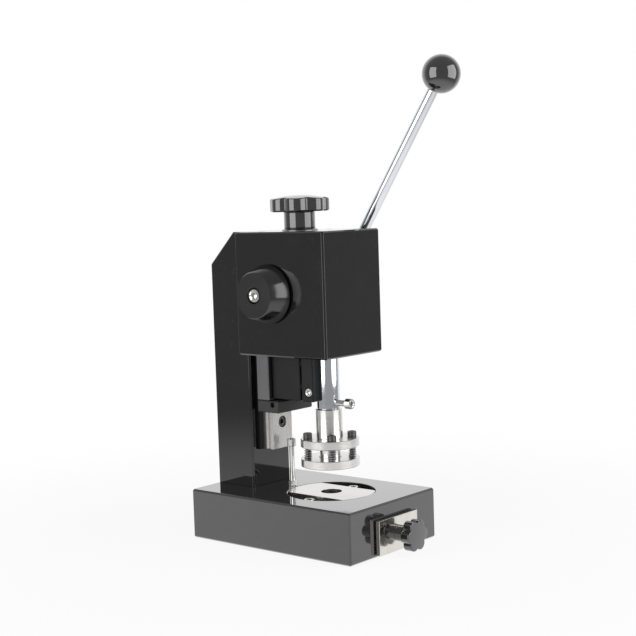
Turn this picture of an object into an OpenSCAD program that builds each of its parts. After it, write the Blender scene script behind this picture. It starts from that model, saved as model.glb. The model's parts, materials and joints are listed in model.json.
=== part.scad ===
// Coin cell disc punch press: lever, rack and pinion drive a guided ram that
// punches discs into a drawer. Millimetres, origin at the middle of the base's
// underside, +X to the right of someone facing the drawer, +Y back, +Z up.

/* [Base] */
// Width of the base block
base_w = 130; // [126:1:180]
// Depth of the base block, front to back
base_d = 198; // [196:1:240]
// Height of the base block
base_h = 48; // [46:0.5:70]
// Bevel along the edges of the black machined blocks
edge_bevel = 1.5; // [0.5:0.1:3]

/* [Column] */
// Width of the column
column_w = 54; // [52:1:70]
// Depth of the column, front to back
column_d = 48; // [44:1:60]
// Height of the column above the base
column_h = 249.5; // [246:0.5:300]
// Size of the 45 degree chamfer at the back of the column's top
column_chamfer = 31.2; // [10:0.2:36]
// Distance from the column's front face to the ram's axis
throat = 76; // [74:0.5:80]

/* [Head] */
// Width of the head
head_w = 84; // [76:1:110]
// Depth of the head in front of the column
head_d = 110; // [108:1:130]
// Height of the head, its top level with the column's
head_h = 117.5; // [116:0.5:140]
// Thickness of the head's front wall
head_front_t = 10; // [6:0.5:12]
// Thickness of the inset top plate
top_plate_t = 8; // [5:0.5:10]
// Width of the ledge that the top plate lies on
plate_ledge = 8; // [7:0.5:10]

/* [Rail and carriage] */
// Width of the guide rail
rail_w = 28; // [22:0.5:32]
// Thickness of the guide rail
rail_t = 13; // [11:0.5:16]
// Thickness of the plate behind the rail
backing_t = 3; // [2:0.5:5]
// Width of the plate behind the rail
backing_w = 38; // [34:1:48]
// Distance between the rail's screws
rail_pitch = 60; // [50:1:70]
// Distance from the rail's lower end to its first screw
rail_end = 25.9; // [20:0.1:30]
// Length of rail that stays free below the lowered carriage
rail_spare = 10.5; // [5:0.5:20]
// Width of the carriage
carriage_w = 49.4; // [44:0.2:56]
// Thickness of the carriage, from its back to its front face
carriage_t = 15.4; // [14.5:0.1:20]
// Length of the carriage's steel body
carriage_len = 50; // [46:0.5:52]
// Thickness of each end cap
cap_t = 11.5; // [8:0.5:13]
// Running gap between rail and carriage
rail_gap = 0.3; // [0.2:0.05:0.5]
// How far the lower end cap hangs below the head when the ram is up
carriage_hang = 57; // [50:0.5:60]

/* [Ram] */
// Travel of the ram
stroke = 28; // [24:0.5:32]
// Diameter of the ram rod
ram_rod_d = 22; // [18:0.5:24]
// Thickness of the block between carriage and ram clamp
slide_block_t = 35.5; // [30:0.5:38]
// How far the ram clamp's bottom hangs below the head when the ram is up
clamp_hang = 44; // [40:0.1:46]
// Width of the open slit between slide block and ram clamp
slit_w = 1.7; // [1:0.1:3]
// Height of the full-depth top of the ram clamp
clamp_top_h = 16; // [13:0.5:20]

/* [Pinion and lever] */
// Tooth module of rack and pinion
tooth_module = 1.5; // [1.4:0.05:1.6]
// Number of teeth on the pinion
pinion_teeth = 24; // [22:1:25]
// Width of the toothed rim
pinion_w = 20; // [16:0.5:24]
// Width of the rack
rack_w = 20; // [14:0.5:24]
// Diameter of the smooth brake drums beside the teeth
drum_d = 30; // [28:0.5:30]
// Width of each brake drum
drum_w = 6; // [5:0.5:8]
// Diameter of the pinion shaft
shaft_d = 16; // [12:0.5:18]
// Distance from the head's top down to the shaft's axis
shaft_drop = 58.2; // [57:0.1:66]
// Distance from the shaft's axis to the ball's centre
lever_len = 238.6; // [150:0.2:300]
// Lean of the raised lever from the vertical, towards the front
lever_tilt = 34; // [20:1:45]
// Diameter of the lever rod
lever_d = 10.5; // [8:0.5:12]
// Diameter of the ball knob
ball_d = 36; // [28:0.5:45]
// Large diameter of the tapered left hub
hub_d = 56; // [46:0.5:60]
// Small diameter of the tapered left hub
hub_end_d = 44; // [36:0.5:46]
// Length of the left hub
hub_len = 20; // [18:0.5:30]
// Diameter of the lever hub
lever_hub_d = 46; // [40:0.5:56]
// Length of the lever hub
lever_hub_len = 26.3; // [25:0.1:34]
// Outer diameter of the return spring
return_spring_d = 11; // [9:0.5:11.5]
// Wire diameter of the return spring
return_wire_d = 1.4; // [1:0.1:1.8]
// Turns of the return spring
return_turns = 18; // [12:1:24]

/* [Brake knob] */
// Diameter of the brake knob's lobed head
knob_d = 58; // [44:0.5:64]
// Height of the brake knob's lobed head
knob_head_h = 16.1; // [12:0.1:20]
// Diameter of the brake knob's neck
knob_neck_d = 30; // [24:0.5:34]
// Height of the brake knob's neck
knob_neck_h = 16.3; // [10:0.1:22]
// Height of the brake knob's rim, below its crown
knob_rim_h = 11.9; // [6:0.1:12]
// Number of lobes on the brake knob
knob_lobes = 7; // [5:1:8]
// Diameter of the brake screw
brake_stem_d = 10; // [8:0.5:12]
// Travel of the brake shoe for half a turn of the knob
brake_travel = 0.75; // [0.5:0.05:0.8]

/* [Punch and stripper] */
// Diameter of the punched disc
disc_d = 20; // [12:0.5:24]
// How far the punch enters the die
punch_entry = 1; // [0.5:0.1:2]
// How far the punch's face stands back inside the stripper ring
punch_recess = 1.4; // [0.5:0.1:2]
// Diameter of the upper ring and the stripper ring
ring_d = 56; // [50:0.5:64]
// Thickness of the stripper ring
stripper_t = 7.8; // [6:0.1:10]
// Thickness of the upper ring
upper_ring_t = 7.9; // [6:0.1:10]
// Height of the gap between the two rings
ring_gap_h = 10.9; // [9:0.1:14]
// Diameter of the punch holder's shank
shank_d = 25.4; // [24:0.2:30]
// Length of ram rod that shows between the ram clamp and the punch holder
rod_free = 8; // [6:0.1:14]
// Distance of the stripper screws from the ram's axis
post_radius = 21.2; // [18:0.1:23]
// Outer diameter of the stripper springs
stripper_spring_d = 7.6; // [7:0.1:8]
// Wire diameter of the stripper springs
stripper_wire_d = 0.9; // [0.6:0.1:1]
// Turns of each stripper spring
stripper_turns = 4; // [3:1:5]

/* [Die] */
// Diameter of the die plate
die_d = 83.4; // [80:0.2:88]
// Thickness of the die plate, let in flush with the base
die_t = 12; // [10:0.5:14]
// Thickness of the die plate's side flanges
die_flange_t = 4.5; // [3:0.5:5]
// Width of the die plate's raised bar, across its flats
die_bar_w = 49; // [42:0.5:52]
// Diameter of the stop screw
stop_d = 5; // [4:0.5:6]
// Distance from the column's front face to the stop screw
stop_reach = 27; // [21:0.5:27.5]
// Height of the stop screw's head
stop_head_h = 7.4; // [4:0.2:9]

/* [Drawer] */
// Width of the drawer tray
tray_w = 51.4; // [44:0.2:54]
// Width of the drawer's front plate
plate_w = 58; // [56:0.5:66]
// Height of the drawer's front plate
plate_h = 32.3; // [28:0.1:38]
// Thickness of the drawer's front plate
plate_t = 4; // [2:0.5:5]
// Height of the pocket's floor above the bench
pocket_floor = 6; // [5:0.5:8]
// Gap between the front plate and the base
plate_gap = 1.4; // [0.4:0.1:3]
// Diameter of the drawer knob's lobed head
pull_d = 30; // [24:0.5:34]
// Depth of the drawer knob's lobed head
pull_head_h = 9.8; // [9.2:0.1:14]
// Depth of the drawer knob's rim, behind its crown
pull_rim_h = 9.2; // [4:0.1:9.2]
// Number of lobes on the drawer knob
pull_lobes = 6; // [5:1:8]
// Diameter of the drawer knob's neck
pull_neck_d = 15; // [12:0.5:18]
// Length of the drawer knob's neck
pull_neck_h = 12.2; // [8:0.1:20]

/* [Hidden] */
$fn = 96;
// Cuts run this far past the faces they open
over = 1;
// Diametral clearance of a screw in its hole and of a turning fit
fit = 0.1;
// Diametral clearance of a pressed or clamped fit
press = 0.02;
// Gap left between flat faces that move past each other
slip = 0.3;
m3 = 3;
m4 = 4;
m5 = 5;
m6 = 6;
m8 = 8;
m10 = 10;
// Play round a screw's head in its counterbore
seat_play = 0.6;
// Edge of sheet parts
sheet_edge = 0.3;
// Shares of a screw's size: bevel of its head, width over the flats of its socket
head_edge = 0.08;
socket_share = 0.92;
// Radius of a star knob's lobes as a share of the knob's own
lobe_share = 0.38;
// Turn of the brake knob's lobes about its axis
knob_turn = 8;
// Shares of a star knob's head: its lower bevel and the depth of its bore
knob_edge = 0.1;
bore_share = 0.4;

base_front = -base_d / 2;
column_front = base_d / 2 - column_d;
column_mid = column_front + column_d / 2;
top_z = base_h + column_h;
head_low = top_z - head_h;
head_front = column_front - head_d;
ram_y = column_front - throat;

rail_back = column_front - backing_t;
rail_front = rail_back - rail_t;
// Gap between the plate behind the rail and the carriage
carriage_lift = 3.6;
carriage_back = rail_back - carriage_lift;
carriage_front = carriage_back - carriage_t;
// Steel of the carriage in front of the rail, and what the slide block's screws leave of it
web_t = carriage_t - (rail_t - carriage_lift) - rail_gap;
web_rest = 2.2;
cap_low = head_low - carriage_hang;
body_low = cap_low + cap_t;
body_top = body_low + carriage_len;
carriage_top = body_top + cap_t;
rail_low = cap_low - stroke - rail_spare;
// Length of rail above the raised carriage
rail_over = 16;
rail_top = carriage_top + rail_over;
groove_depth = 1.6;
// Share of the rail's thickness at which each edge of its groove lies
groove_back = 0.32;
groove_front = 0.68;

// Gap between the carriage and each cheek of the head
cheek_gap = 1.3;
cavity_half = carriage_w / 2 + cheek_gap;
// How far the wide tops of slide block and clamp stand back inside the carriage's sides
slide_inset = 0.2;
top_half = carriage_w / 2 - slide_inset;
// How far slide block and clamp stand back below their wide tops
slide_relief = 5;
slide_half = top_half - slide_relief;
// How far the slide block's foot lies above the carriage body's
slide_foot = 1.5;
slide_low = body_low + slide_foot;
slide_front = carriage_front - slide_block_t;
clamp_back = slide_front - slit_w;
// From the ram's axis back to the front face of the clamp's lower part
clamp_set = 2.6;
clamp_front = ram_y + clamp_set;
clamp_low = head_low - clamp_hang;
// How far the clamp's top lies above the carriage
clamp_over = 4;
clamp_top = carriage_top + clamp_over;
clamp_step = clamp_top - clamp_top_h;
// Wall in front of the ram rod
nose_wall = 11;
clamp_nose = ram_y - ram_rod_d / 2 - nose_wall;
// From the ram's axis back to the rack's back face
tongue_set = 4;
tongue_back = ram_y + tongue_set;
tongue_t = 12;
tongue_h = 32;
tongue_top = clamp_top + tongue_h;
// How far the pad in the slit stands in from the clamp's sides and foot
pad_side = 4.5;
pad_foot = 4;

pitch_r = tooth_module * pinion_teeth / 2;
tip_r = pitch_r + tooth_module;
root_r = pitch_r - 1.25 * tooth_module;
tooth_pitch = PI * tooth_module;
pressure_angle = 20;
backlash = 0.06;
rack_t = 11.5;
rack_line = tongue_back + rack_t;
shaft_y = rack_line + pitch_r;
shaft_z = top_z - shaft_drop;
// Length of rack above the pinion's axis when the ram is down
rack_spare = 14;
rack_top = shaft_z + stroke + rack_spare;
// Plain end of the rack above its teeth, and teeth below the pinion's axis
rack_end = 3;
teeth_below = 3;
pinion_half = pinion_w / 2 + drum_w;
// Room behind the pinion's teeth
pinion_room = 5;
back_wall_front = shaft_y + tip_r + pinion_room;
// Gap between the rail's top and the head's back wall
lintel_gap = 3;
back_wall_low = rail_top + lintel_gap;
plate_low = top_z - top_plate_t;

cheek_in = cavity_half;
cheek_out = head_w / 2;
bush_wall = 3;
bush_d = shaft_d + 2 * bush_wall;
flange_t = 1.5;
hub_gap = 0.2;
hub_in = cheek_out + flange_t + hub_gap;
hub_floor = 3.2;
hub_recess = 8.5;
// Gap round a hub screw's head in its recess
hub_play = 1.25;
// How far the lever lies inwards of the middle of its hub
lever_set = 0.8;
lever_x = hub_in + lever_hub_len / 2 - lever_set;
shaft_left = -(hub_in + hub_len - hub_recess - hub_floor);
shaft_right = hub_in + lever_hub_len - hub_recess - hub_floor;
shaft_screw = 20;
// Length of a hub screw's thread in the shaft, less than the hole by its spare
shaft_screw_spare = 2;
// Gap between the shaft and the lever's inner end
lever_gap = 2;
lever_root = shaft_d / 2 + lever_gap;
ball_flat = 1.2;
ball_seat = lever_len - ball_d / 2 + ball_flat;
// From the ball's centre back to the end of the lever in it
ball_end = 8;
lever_end = lever_len - ball_end;
key_w = 5;
key_depth = 3;
key_h = 5.3;
// How far the key runs past each side of the toothed rim
key_over = 2;
key_len = pinion_w + 2 * key_over;

// How far the brake knob's axis lies in front of the shaft's
knob_set = 4.5;
knob_y = shaft_y - knob_set;
washer_t = 1.5;
// How far the washer stands out under the knob's neck, and its play round the stem
washer_edge = 2.5;
washer_cone = 1.8;
washer_play = 0.8;
knob_low = top_z + washer_t + fit;
// Share of the brake knob's head that the stem reaches into
stem_share = 0.35;
collar_h = 6;
collar_w = 4;
collar_gap = 0.2;
collar_top = plate_low - collar_gap;
// Gap between the rack's teeth and the brake shoe
shoe_clear = 2;
shoe_front = rack_line + tooth_module + shoe_clear;
// How far the shoe stays short of the drum's back
shoe_short = 5.5;
shoe_back = shaft_y + drum_d / 2 - shoe_short;
// Gap that the lowered shoe keeps from the drum
brake_clear = 0.15;
shoe_gap = brake_travel + brake_clear;
// How far the shoe's cheeks reach down beside the drum's top
shoe_reach = 2.3;
shoe_low = shaft_z + drum_d / 2 - shoe_reach;
shoe_side_gap = 0.6;
// Gap that the lowered shoe's bridge keeps from the teeth
bridge_gap = 0.9;
shoe_bridge = shaft_z + tip_r + brake_travel + bridge_gap;
bridge_h = 15.5;
shoe_top = shoe_bridge + bridge_h;
stem_gap = 1.5;
stem_low = shoe_bridge + stem_gap;

punch_tip = base_h + stroke - punch_entry;
stripper_low = punch_tip - punch_recess;
stripper_top = stripper_low + stripper_t;
upper_low = stripper_top + ring_gap_h;
upper_top = upper_low + upper_ring_t;
rod_low = clamp_low - rod_free;
shank_len = rod_low - upper_top;
// Solid top of the clamp above the ram rod
rod_cover = 4;
rod_top = clamp_top - rod_cover;
spigot_d = 12;
spigot_len = 16;
spigot_flat = 0.8;
// How far the spigot's flat starts above the shank
flat_rise = 2;
// Share of the holder's length that the punch's shank reaches into
punch_share = 0.476;
punch_shank_len = (upper_ring_t + shank_len) * punch_share;
punch_screw_rise = 6.1;
punch_screw_z = rod_low + punch_screw_rise;
// From the ram's axis to the seat of the punch clamp screw's head
punch_screw_reach = 22.3;
post_d = m5;
// Solid floor below a stripper screw's thread
post_floor = 1.5;

// Gaps round the die plate, the punch in its stripper ring and a disc in its chute
recess_gap = 0.5;
punch_gap = 0.5;
chute_gap = 2;
recess_d = die_d + 2 * recess_gap;
recess_low = base_h - die_t;
chute_d = disc_d + 2 * chute_gap;
// How much wider the die's hole is below its cutting half
die_relief = 2;
die_screw_x = (die_d + die_bar_w) / 4;
stop_y = column_front - stop_reach;
stop_top = cap_low - stroke - slip;
stop_hole = 12;
nut_t = 5;
// Width over the flats of the nuts on the stop screw and on the drawer knob's stud
stop_flats = 8;
stud_flats = 10;
// Depth of the stop screw's hexagon socket
stop_socket = 2;

pocket_half = tray_w / 2 + slip;
// Wall between the die's recess and the drawer's pocket
pocket_roof = 5;
pocket_top = recess_low - pocket_roof;
// From the ram's axis to the tray's back
tray_reach = 31;
tray_back = ram_y + tray_reach;
// Room behind the closed tray
pocket_spare = 4;
pocket_back = tray_back + pocket_spare;
plate_back = base_front - plate_gap;
plate_front = plate_back - plate_t;
// How far the front plate reaches below the pocket's floor
plate_drop = 3.8;
plate_low_z = pocket_floor - plate_drop;
pull_z = plate_low_z + plate_h / 2;
tray_low = pocket_floor + slip;
tray_top = pocket_top - slip;
tray_wall = 2;
tray_front_t = 3;

column_bolt_x = 16;
column_bolt_y = 12;
column_bolt_seat = 11;
column_thread = 17;
head_bolt_x = 17;
// Heights of the head bolts below and above the shaft
head_bolt_drop = 13;
head_bolt_rise = 15;
head_bolt_z = [shaft_z - head_bolt_drop, shaft_z + head_bolt_rise];
head_bolt_seat = 9;
head_thread = 12;
plate_screw_x = cavity_half + plate_ledge / 2;
// From the ram's axis to the plate screws before and behind it, and from the back wall
plate_screw_y0 = 17;
plate_screw_y1 = 7;
plate_screw_y = [ram_y - plate_screw_y0, ram_y + plate_screw_y0, back_wall_front - plate_screw_y1];
plate_screw_len = 14;
// Solid frame in front of the top plate
plate_rim = 4;
rail_count = floor((rail_top - rail_low - 2 * rail_end) / rail_pitch) + 1;
rail_screw_seat = 6;
rail_screw_len = 22;
slide_screw_side = 6.5;
slide_screw_x = slide_half - slide_screw_side;
slide_screw_foot = 16;
slide_screw_head = 12;
slide_screw_z = [body_low + slide_screw_foot, body_top - slide_screw_head];
slide_thread = web_t - web_rest;
slide_screw_len = slide_block_t - m6 + slide_thread;
clamp_screw_side = 6.5;
clamp_screw_x = top_half - clamp_screw_side;
clamp_screw_drop = 9;
clamp_screw_z = clamp_top - clamp_screw_drop;
clamp_thread = 4;
grip_rise = 9;
grip_set = 8.2;
// Gap between a grip screw's tip and the ram rod, and the tip's distance from the ram's axis
grip_gap = 0.2;
grip_tip = sqrt(pow(ram_rod_d / 2, 2) - pow(grip_set - m5 / 2, 2)) + grip_gap;
grip_z = clamp_low + grip_rise;
grip_y = ram_y + grip_set;
rack_screw_rise = 8;
rack_screw_pitch = 16;
rack_screw_z = [clamp_top + rack_screw_rise, clamp_top + rack_screw_rise + rack_screw_pitch];
rack_thread = 2;
cap_screw_side = 5;
cap_screw_inset = 6;
cap_screw_x = rail_w / 2 + cap_screw_side;
cap_screw_y = carriage_front + cap_screw_inset;
cap_thread = 3;
die_thread = 9;
// How much deeper a blind hole is than the screw in it
hole_spare = 1;
// Grease ports of the lower end cap
port_d = m5;
port_depth = 4;
port_set = 4;
port_rise = 7.7;
// How much wider an end cap is than the carriage, and how far the lower one stands proud of it
cap_side = 0.2;
cap_lip = 12;
// Small bevels: of the ram's blocks, of turned and ground parts, of the hubs
block_bevel = 0.8;
part_bevel = 0.6;
ring_bevel = 0.5;
hub_bevel = 0.8;
lever_hub_bevel = 2;

black = [0.05, 0.05, 0.06];
dark_steel = [0.16, 0.16, 0.17];
steel = [0.66, 0.67, 0.69];
bright = [0.82, 0.83, 0.85];
bronze = [0.72, 0.52, 0.28];

// Head diameter of a socket cap screw
function head_of(size) = 1.5 * size + 1;

// Box between two corners
module block(lo, hi) {
    translate(lo) cube(hi - lo);
}

// Cylinders along each axis, between two places on it
module cyl_x(y, z, x0, x1, d) {
    translate([x0, y, z]) rotate([0, 90, 0]) cylinder(h = x1 - x0, d = d);
}

module cyl_y(x, z, y0, y1, d) {
    translate([x, y0, z]) rotate([-90, 0, 0]) cylinder(h = y1 - y0, d = d);
}

module cyl_z(x, y, z0, z1, d) {
    translate([x, y, z0]) cylinder(h = z1 - z0, d = d);
}

// Rectangle with its four corners cut at 45 degrees
module cut_rect(w, h, b) {
    polygon([
        [b, 0], [w - b, 0], [w, b], [w, h - b],
        [w - b, h], [b, h], [0, h - b], [0, b]
    ]);
}

// Box with all twelve edges bevelled
module bevel_block(lo, hi, b) {
    s = hi - lo;
    translate(lo) intersection() {
        linear_extrude(s.z) cut_rect(s.x, s.y, b);
        translate([0, s.y, 0]) rotate([90, 0, 0]) linear_extrude(s.y) cut_rect(s.x, s.z, b);
        rotate([90, 0, 90]) linear_extrude(s.x) cut_rect(s.y, s.z, b);
    }
}

// Cylinder on Z with its top edge bevelled, standing on z = 0
module turned(d, h, b) {
    rotate_extrude() polygon([
        [0, 0], [d / 2, 0], [d / 2, h - b], [d / 2 - b, h], [0, h]
    ]);
}

// Ring on Z with all four edges bevelled, standing on z = 0
module ring(d, bore, h, b) {
    rotate_extrude() polygon([
        [bore / 2, b], [bore / 2 + b, 0], [d / 2 - b, 0], [d / 2, b],
        [d / 2, h - b], [d / 2 - b, h], [bore / 2 + b, h], [bore / 2, h - b]
    ]);
}

// Socket cap screw on Z: its head stands on z = 0 and its shank hangs below
module cap_screw(size, len) {
    difference() {
        union() {
            turned(head_of(size), size, size * head_edge);
            translate([0, 0, -len]) cylinder(h = len + size / 2, d = size);
        }
        translate([0, 0, size / 2]) cylinder(h = size, d = size * socket_share, $fn = 6);
    }
}

// Turns a screw so that its head points along the named way
module head_up(p) {
    translate(p) children();
}

module head_down(p) {
    translate(p) rotate([180, 0, 0]) children();
}

module head_front_way(p) {
    translate(p) rotate([90, 0, 0]) children();
}

module head_back_way(p) {
    translate(p) rotate([-90, 0, 0]) children();
}

module head_left_way(p) {
    translate(p) rotate([0, -90, 0]) children();
}

module head_right_way(p) {
    translate(p) rotate([0, 90, 0]) children();
}

// Hole and counterbore for a cap screw, on Z with its seat at z = 0
module screw_hole(size, len, recess) {
    translate([0, 0, -len - over]) cylinder(h = len + 2 * over, d = size + fit);
    if (recess > 0) {
        cylinder(h = recess + over, d = head_of(size) + seat_play);
    }
}

// Section of the guide rail, grown by a gap; its back lies on y = 0
module rail_section(gap) {
    half = rail_w / 2 + gap;
    waist = half - groove_depth;
    g0 = rail_t * groove_back + gap;
    g1 = rail_t * groove_front - gap;
    polygon([
        [-half, over * 4], [-half, -g0], [-waist, -g0 - groove_depth], [-waist, -g1 + groove_depth],
        [-half, -g1], [-half, -rail_t - gap], [half, -rail_t - gap], [half, -g1],
        [waist, -g1 + groove_depth], [waist, -g0 - groove_depth], [half, -g0], [half, over * 4]
    ]);
}

module rail_body(gap, z0, z1) {
    translate([0, rail_back, z0]) linear_extrude(z1 - z0) rail_section(gap);
}

// Lobed outline of a star knob
module star(d, lobes) {
    lobe = d / 2 * lobe_share;
    circle(r = d / 2 - lobe);
    for (i = [0:lobes - 1]) {
        rotate(i * 360 / lobes) translate([d / 2 - lobe, 0]) circle(r = lobe);
    }
}

// Star knob on Z: a neck on z = 0, then the lobed head with a domed face
module star_knob(d, head_h, rim_h, neck_d, neck_h, lobes, bore) {
    edge = head_h * knob_edge;
    difference() {
        union() {
            cylinder(h = neck_h + edge, d = neck_d);
            translate([0, 0, neck_h]) intersection() {
                linear_extrude(head_h) star(d, lobes);
                rotate_extrude() polygon(concat(
                    [[0, 0], [d / 2 - edge, 0], [d / 2, edge]],
                    [for (a = [0:15:75]) [d / 2 * cos(a), rim_h + (head_h - rim_h) * sin(a)]],
                    [[0, head_h]]
                ));
            }
        }
        translate([0, 0, -over]) cylinder(h = neck_h + head_h * bore_share + over, d = bore);
    }
}

// Centre line of a coil spring on Z whose ends stand upright:
// [place, direction, radius direction] for each ring
function coil_path(r, wire, z0, z1, turns) =
    let (bend = wire * 1.2)
    let (rise = z1 - z0 - 2 * wire - 2 * bend)
    let (lead = bend / r * 180 / PI)
    let (slope = rise / (2 * PI * r * turns))
    concat(
        [coil_ring(r, 0, z0, 90)],
        [for (a = [0:30:60]) coil_ring(r, lead * (1 - cos(a)), z0 + wire + bend * sin(a), 90 - a)],
        [for (i = [0:turns * 8]) coil_ring(
            r, lead + i * 45, z0 + wire + bend + rise * i / (turns * 8), atan(slope))],
        [for (a = [60:-30:0]) coil_ring(
            r, 2 * lead + turns * 360 - lead * (1 - cos(a)), z1 - wire - bend * sin(a), 90 - a)],
        [coil_ring(r, 2 * lead + turns * 360, z1, 90)]
    );

function coil_ring(r, a, z, climb) = [
    [r * cos(a), r * sin(a), z],
    [-sin(a) * cos(climb), cos(a) * cos(climb), sin(climb)],
    [cos(a), sin(a), 0]
];

// Least distance between the surfaces of turns that lie more than half a turn apart
function coil_gap(path, wire) = min([
    for (i = [0:len(path) - 6]) for (j = [i + 5:len(path) - 1]) norm(path[i][0] - path[j][0]) - wire
]);

// Six-sided tube along a path of rings
module tube(path, wire) {
    sides = 6;
    last = len(path) - 1;
    points = [
        for (ring = path) for (k = [0:sides - 1])
            ring[0] + wire / 2 * (cos(k * 60) * ring[2] + sin(k * 60) * cross(ring[1], ring[2]))
    ];
    walls = [
        for (i = [0:last - 1]) for (k = [0:sides - 1])
            let (a = i * sides + k)
            let (b = i * sides + (k + 1) % sides)
            each [[a, a + sides, b + sides], [a, b + sides, b]]
    ];
    ends = [for (k = [1:sides - 2]) each [
        [0, k, k + 1],
        [last * sides, last * sides + k + 1, last * sides + k]
    ]];
    polyhedron(points, concat(walls, ends));
}

module coil(d, wire, z0, z1, turns) {
    path = coil_path((d - wire) / 2, wire, z0, z1, turns);
    echo(least_gap = coil_gap(path, wire));
    tube(path, wire);
}

module at_rail_screws() {
    for (i = [0:rail_count - 1]) {
        head_front_way([0, rail_back - rail_screw_seat, rail_low + rail_end + i * rail_pitch])
            children();
    }
}

module at_column_bolts() {
    for (x = [-column_bolt_x, column_bolt_x], y = [-column_bolt_y, column_bolt_y]) {
        head_down([x, column_mid + y, column_bolt_seat]) children();
    }
}

module at_head_bolts() {
    for (x = [-head_bolt_x, head_bolt_x], z = head_bolt_z) {
        head_back_way([x, base_d / 2 - head_bolt_seat, z]) children();
    }
}

module at_plate_screws() {
    for (x = [-plate_screw_x, plate_screw_x], y = plate_screw_y) {
        head_up([x, y, top_z - m4]) children();
    }
}

module at_slide_screws() {
    for (x = [-slide_screw_x, slide_screw_x], z = slide_screw_z) {
        head_front_way([x, slide_front + m6, z]) children();
    }
}

module at_clamp_screws() {
    for (x = [-clamp_screw_x, clamp_screw_x]) {
        head_front_way([x, clamp_nose + m6, clamp_screw_z]) children();
    }
}

module at_rack_screws() {
    for (z = rack_screw_z) {
        head_front_way([0, tongue_back - tongue_t + m5, z]) children();
    }
}

module at_posts() {
    for (a = [45:90:315]) {
        translate([post_radius * cos(a), ram_y + post_radius * sin(a), 0]) children();
    }
}

module at_lever() {
    translate([lever_x, shaft_y, shaft_z]) rotate([lever_tilt, 0, 0]) children();
}

module die_hole(d, z0, z1) {
    cyl_z(0, ram_y, z0, z1, d);
}

module base_block() {
    color(black) difference() {
        bevel_block([-base_w / 2, base_front, 0], [base_w / 2, base_d / 2, base_h], edge_bevel);
        cyl_z(0, ram_y, recess_low, base_h + over, recess_d);
        cyl_z(0, ram_y, pocket_top - over, recess_low + over, chute_d);
        block([-pocket_half, base_front - over, pocket_floor], [pocket_half, pocket_back, pocket_top]);
        for (x = [-die_screw_x, die_screw_x]) {
            cyl_z(x, ram_y, recess_low - die_thread - hole_spare, recess_low + over, m6 + fit);
        }
        cyl_z(0, stop_y, base_h - stop_hole, base_h + over, stop_d + fit);
        at_column_bolts() screw_hole(m10, base_h, column_bolt_seat);
    }
}

module column() {
    h = column_h;
    back = base_d / 2;
    color(black) difference() {
        intersection() {
            rotate([90, 0, 90]) translate([0, 0, -column_w / 2]) linear_extrude(column_w) polygon([
                [column_front, base_h], [back, base_h], [back, top_z - column_chamfer],
                [back - column_chamfer, top_z], [column_front, top_z]
            ]);
            translate([-column_w / 2, column_front, base_h]) linear_extrude(h)
                cut_rect(column_w, column_d, edge_bevel);
        }
        at_column_bolts() screw_hole(m10, base_h + column_thread + hole_spare, 0);
        at_head_bolts() screw_hole(m8, column_d, head_bolt_seat);
        at_rail_screws() screw_hole(m6, rail_screw_len + hole_spare, 0);
    }
}

module column_bolts() {
    color(dark_steel) at_column_bolts() cap_screw(m10, base_h + column_thread);
}

module head_housing() {
    lip = plate_ledge;
    color(black) difference() {
        bevel_block([-head_w / 2, head_front, head_low], [head_w / 2, column_front, top_z], edge_bevel);
        block([-cavity_half, head_front + head_front_t, head_low - over],
            [cavity_half, column_front + over, back_wall_low]);
        block([-cavity_half, head_front + head_front_t, back_wall_low - over],
            [cavity_half, back_wall_front, top_z + over]);
        block([-cavity_half - lip, head_front + plate_rim, plate_low],
            [cavity_half + lip, back_wall_front + lip, top_z + over]);
        cyl_x(shaft_y, shaft_z, -head_w / 2 - over, head_w / 2 + over, bush_d + press);
        at_head_bolts() screw_hole(m8, column_d - head_bolt_seat + head_thread + hole_spare, 0);
        at_plate_screws() screw_hole(m4, plate_screw_len + hole_spare, 0);
    }
}

module head_bolts() {
    color(dark_steel) at_head_bolts() cap_screw(m8, column_d - head_bolt_seat + head_thread);
}

module head_top_plate() {
    lip = plate_ledge - fit;
    color(black) difference() {
        block([-cavity_half - lip, head_front + plate_rim + fit, plate_low],
            [cavity_half + lip, back_wall_front + lip, top_z]);
        cyl_z(0, knob_y, plate_low - over, top_z + over, brake_stem_d + fit);
        at_plate_screws() screw_hole(m4, top_plate_t, m4);
    }
}

module top_plate_screws() {
    color(dark_steel) at_plate_screws() cap_screw(m4, plate_screw_len);
}

module rail_backing_plate() {
    color(black) difference() {
        block([-backing_w / 2, rail_back, rail_low], [backing_w / 2, column_front, rail_top]);
        at_rail_screws() screw_hole(m6, rail_screw_len, 0);
    }
}

module guide_rail() {
    color(bright) difference() {
        intersection() {
            rail_body(0, rail_low, rail_top);
            block([-rail_w, rail_front - over, rail_low - over], [rail_w, rail_back, rail_top + over]);
        }
        at_rail_screws() screw_hole(m6, rail_screw_len, rail_t);
    }
}

module rail_screws() {
    color(steel) at_rail_screws() cap_screw(m6, rail_screw_len);
}

module carriage_body() {
    half = carriage_w / 2;
    color(steel) difference() {
        bevel_block([-half, carriage_front, body_low], [half, carriage_back, body_top], part_bevel);
        rail_body(rail_gap, body_low - over, body_top + over);
        at_slide_screws() screw_hole(m6, slide_screw_len + hole_spare, 0);
        at_end_caps() screw_hole(m3, cap_t + cap_thread + hole_spare, 0);
    }
}

// Screws of both end caps, two below and two above
module at_end_caps() {
    for (x = [-cap_screw_x, cap_screw_x]) {
        head_down([x, cap_screw_y, cap_low + m3]) children();
        head_up([x, cap_screw_y, carriage_top - m3]) children();
    }
}

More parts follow.
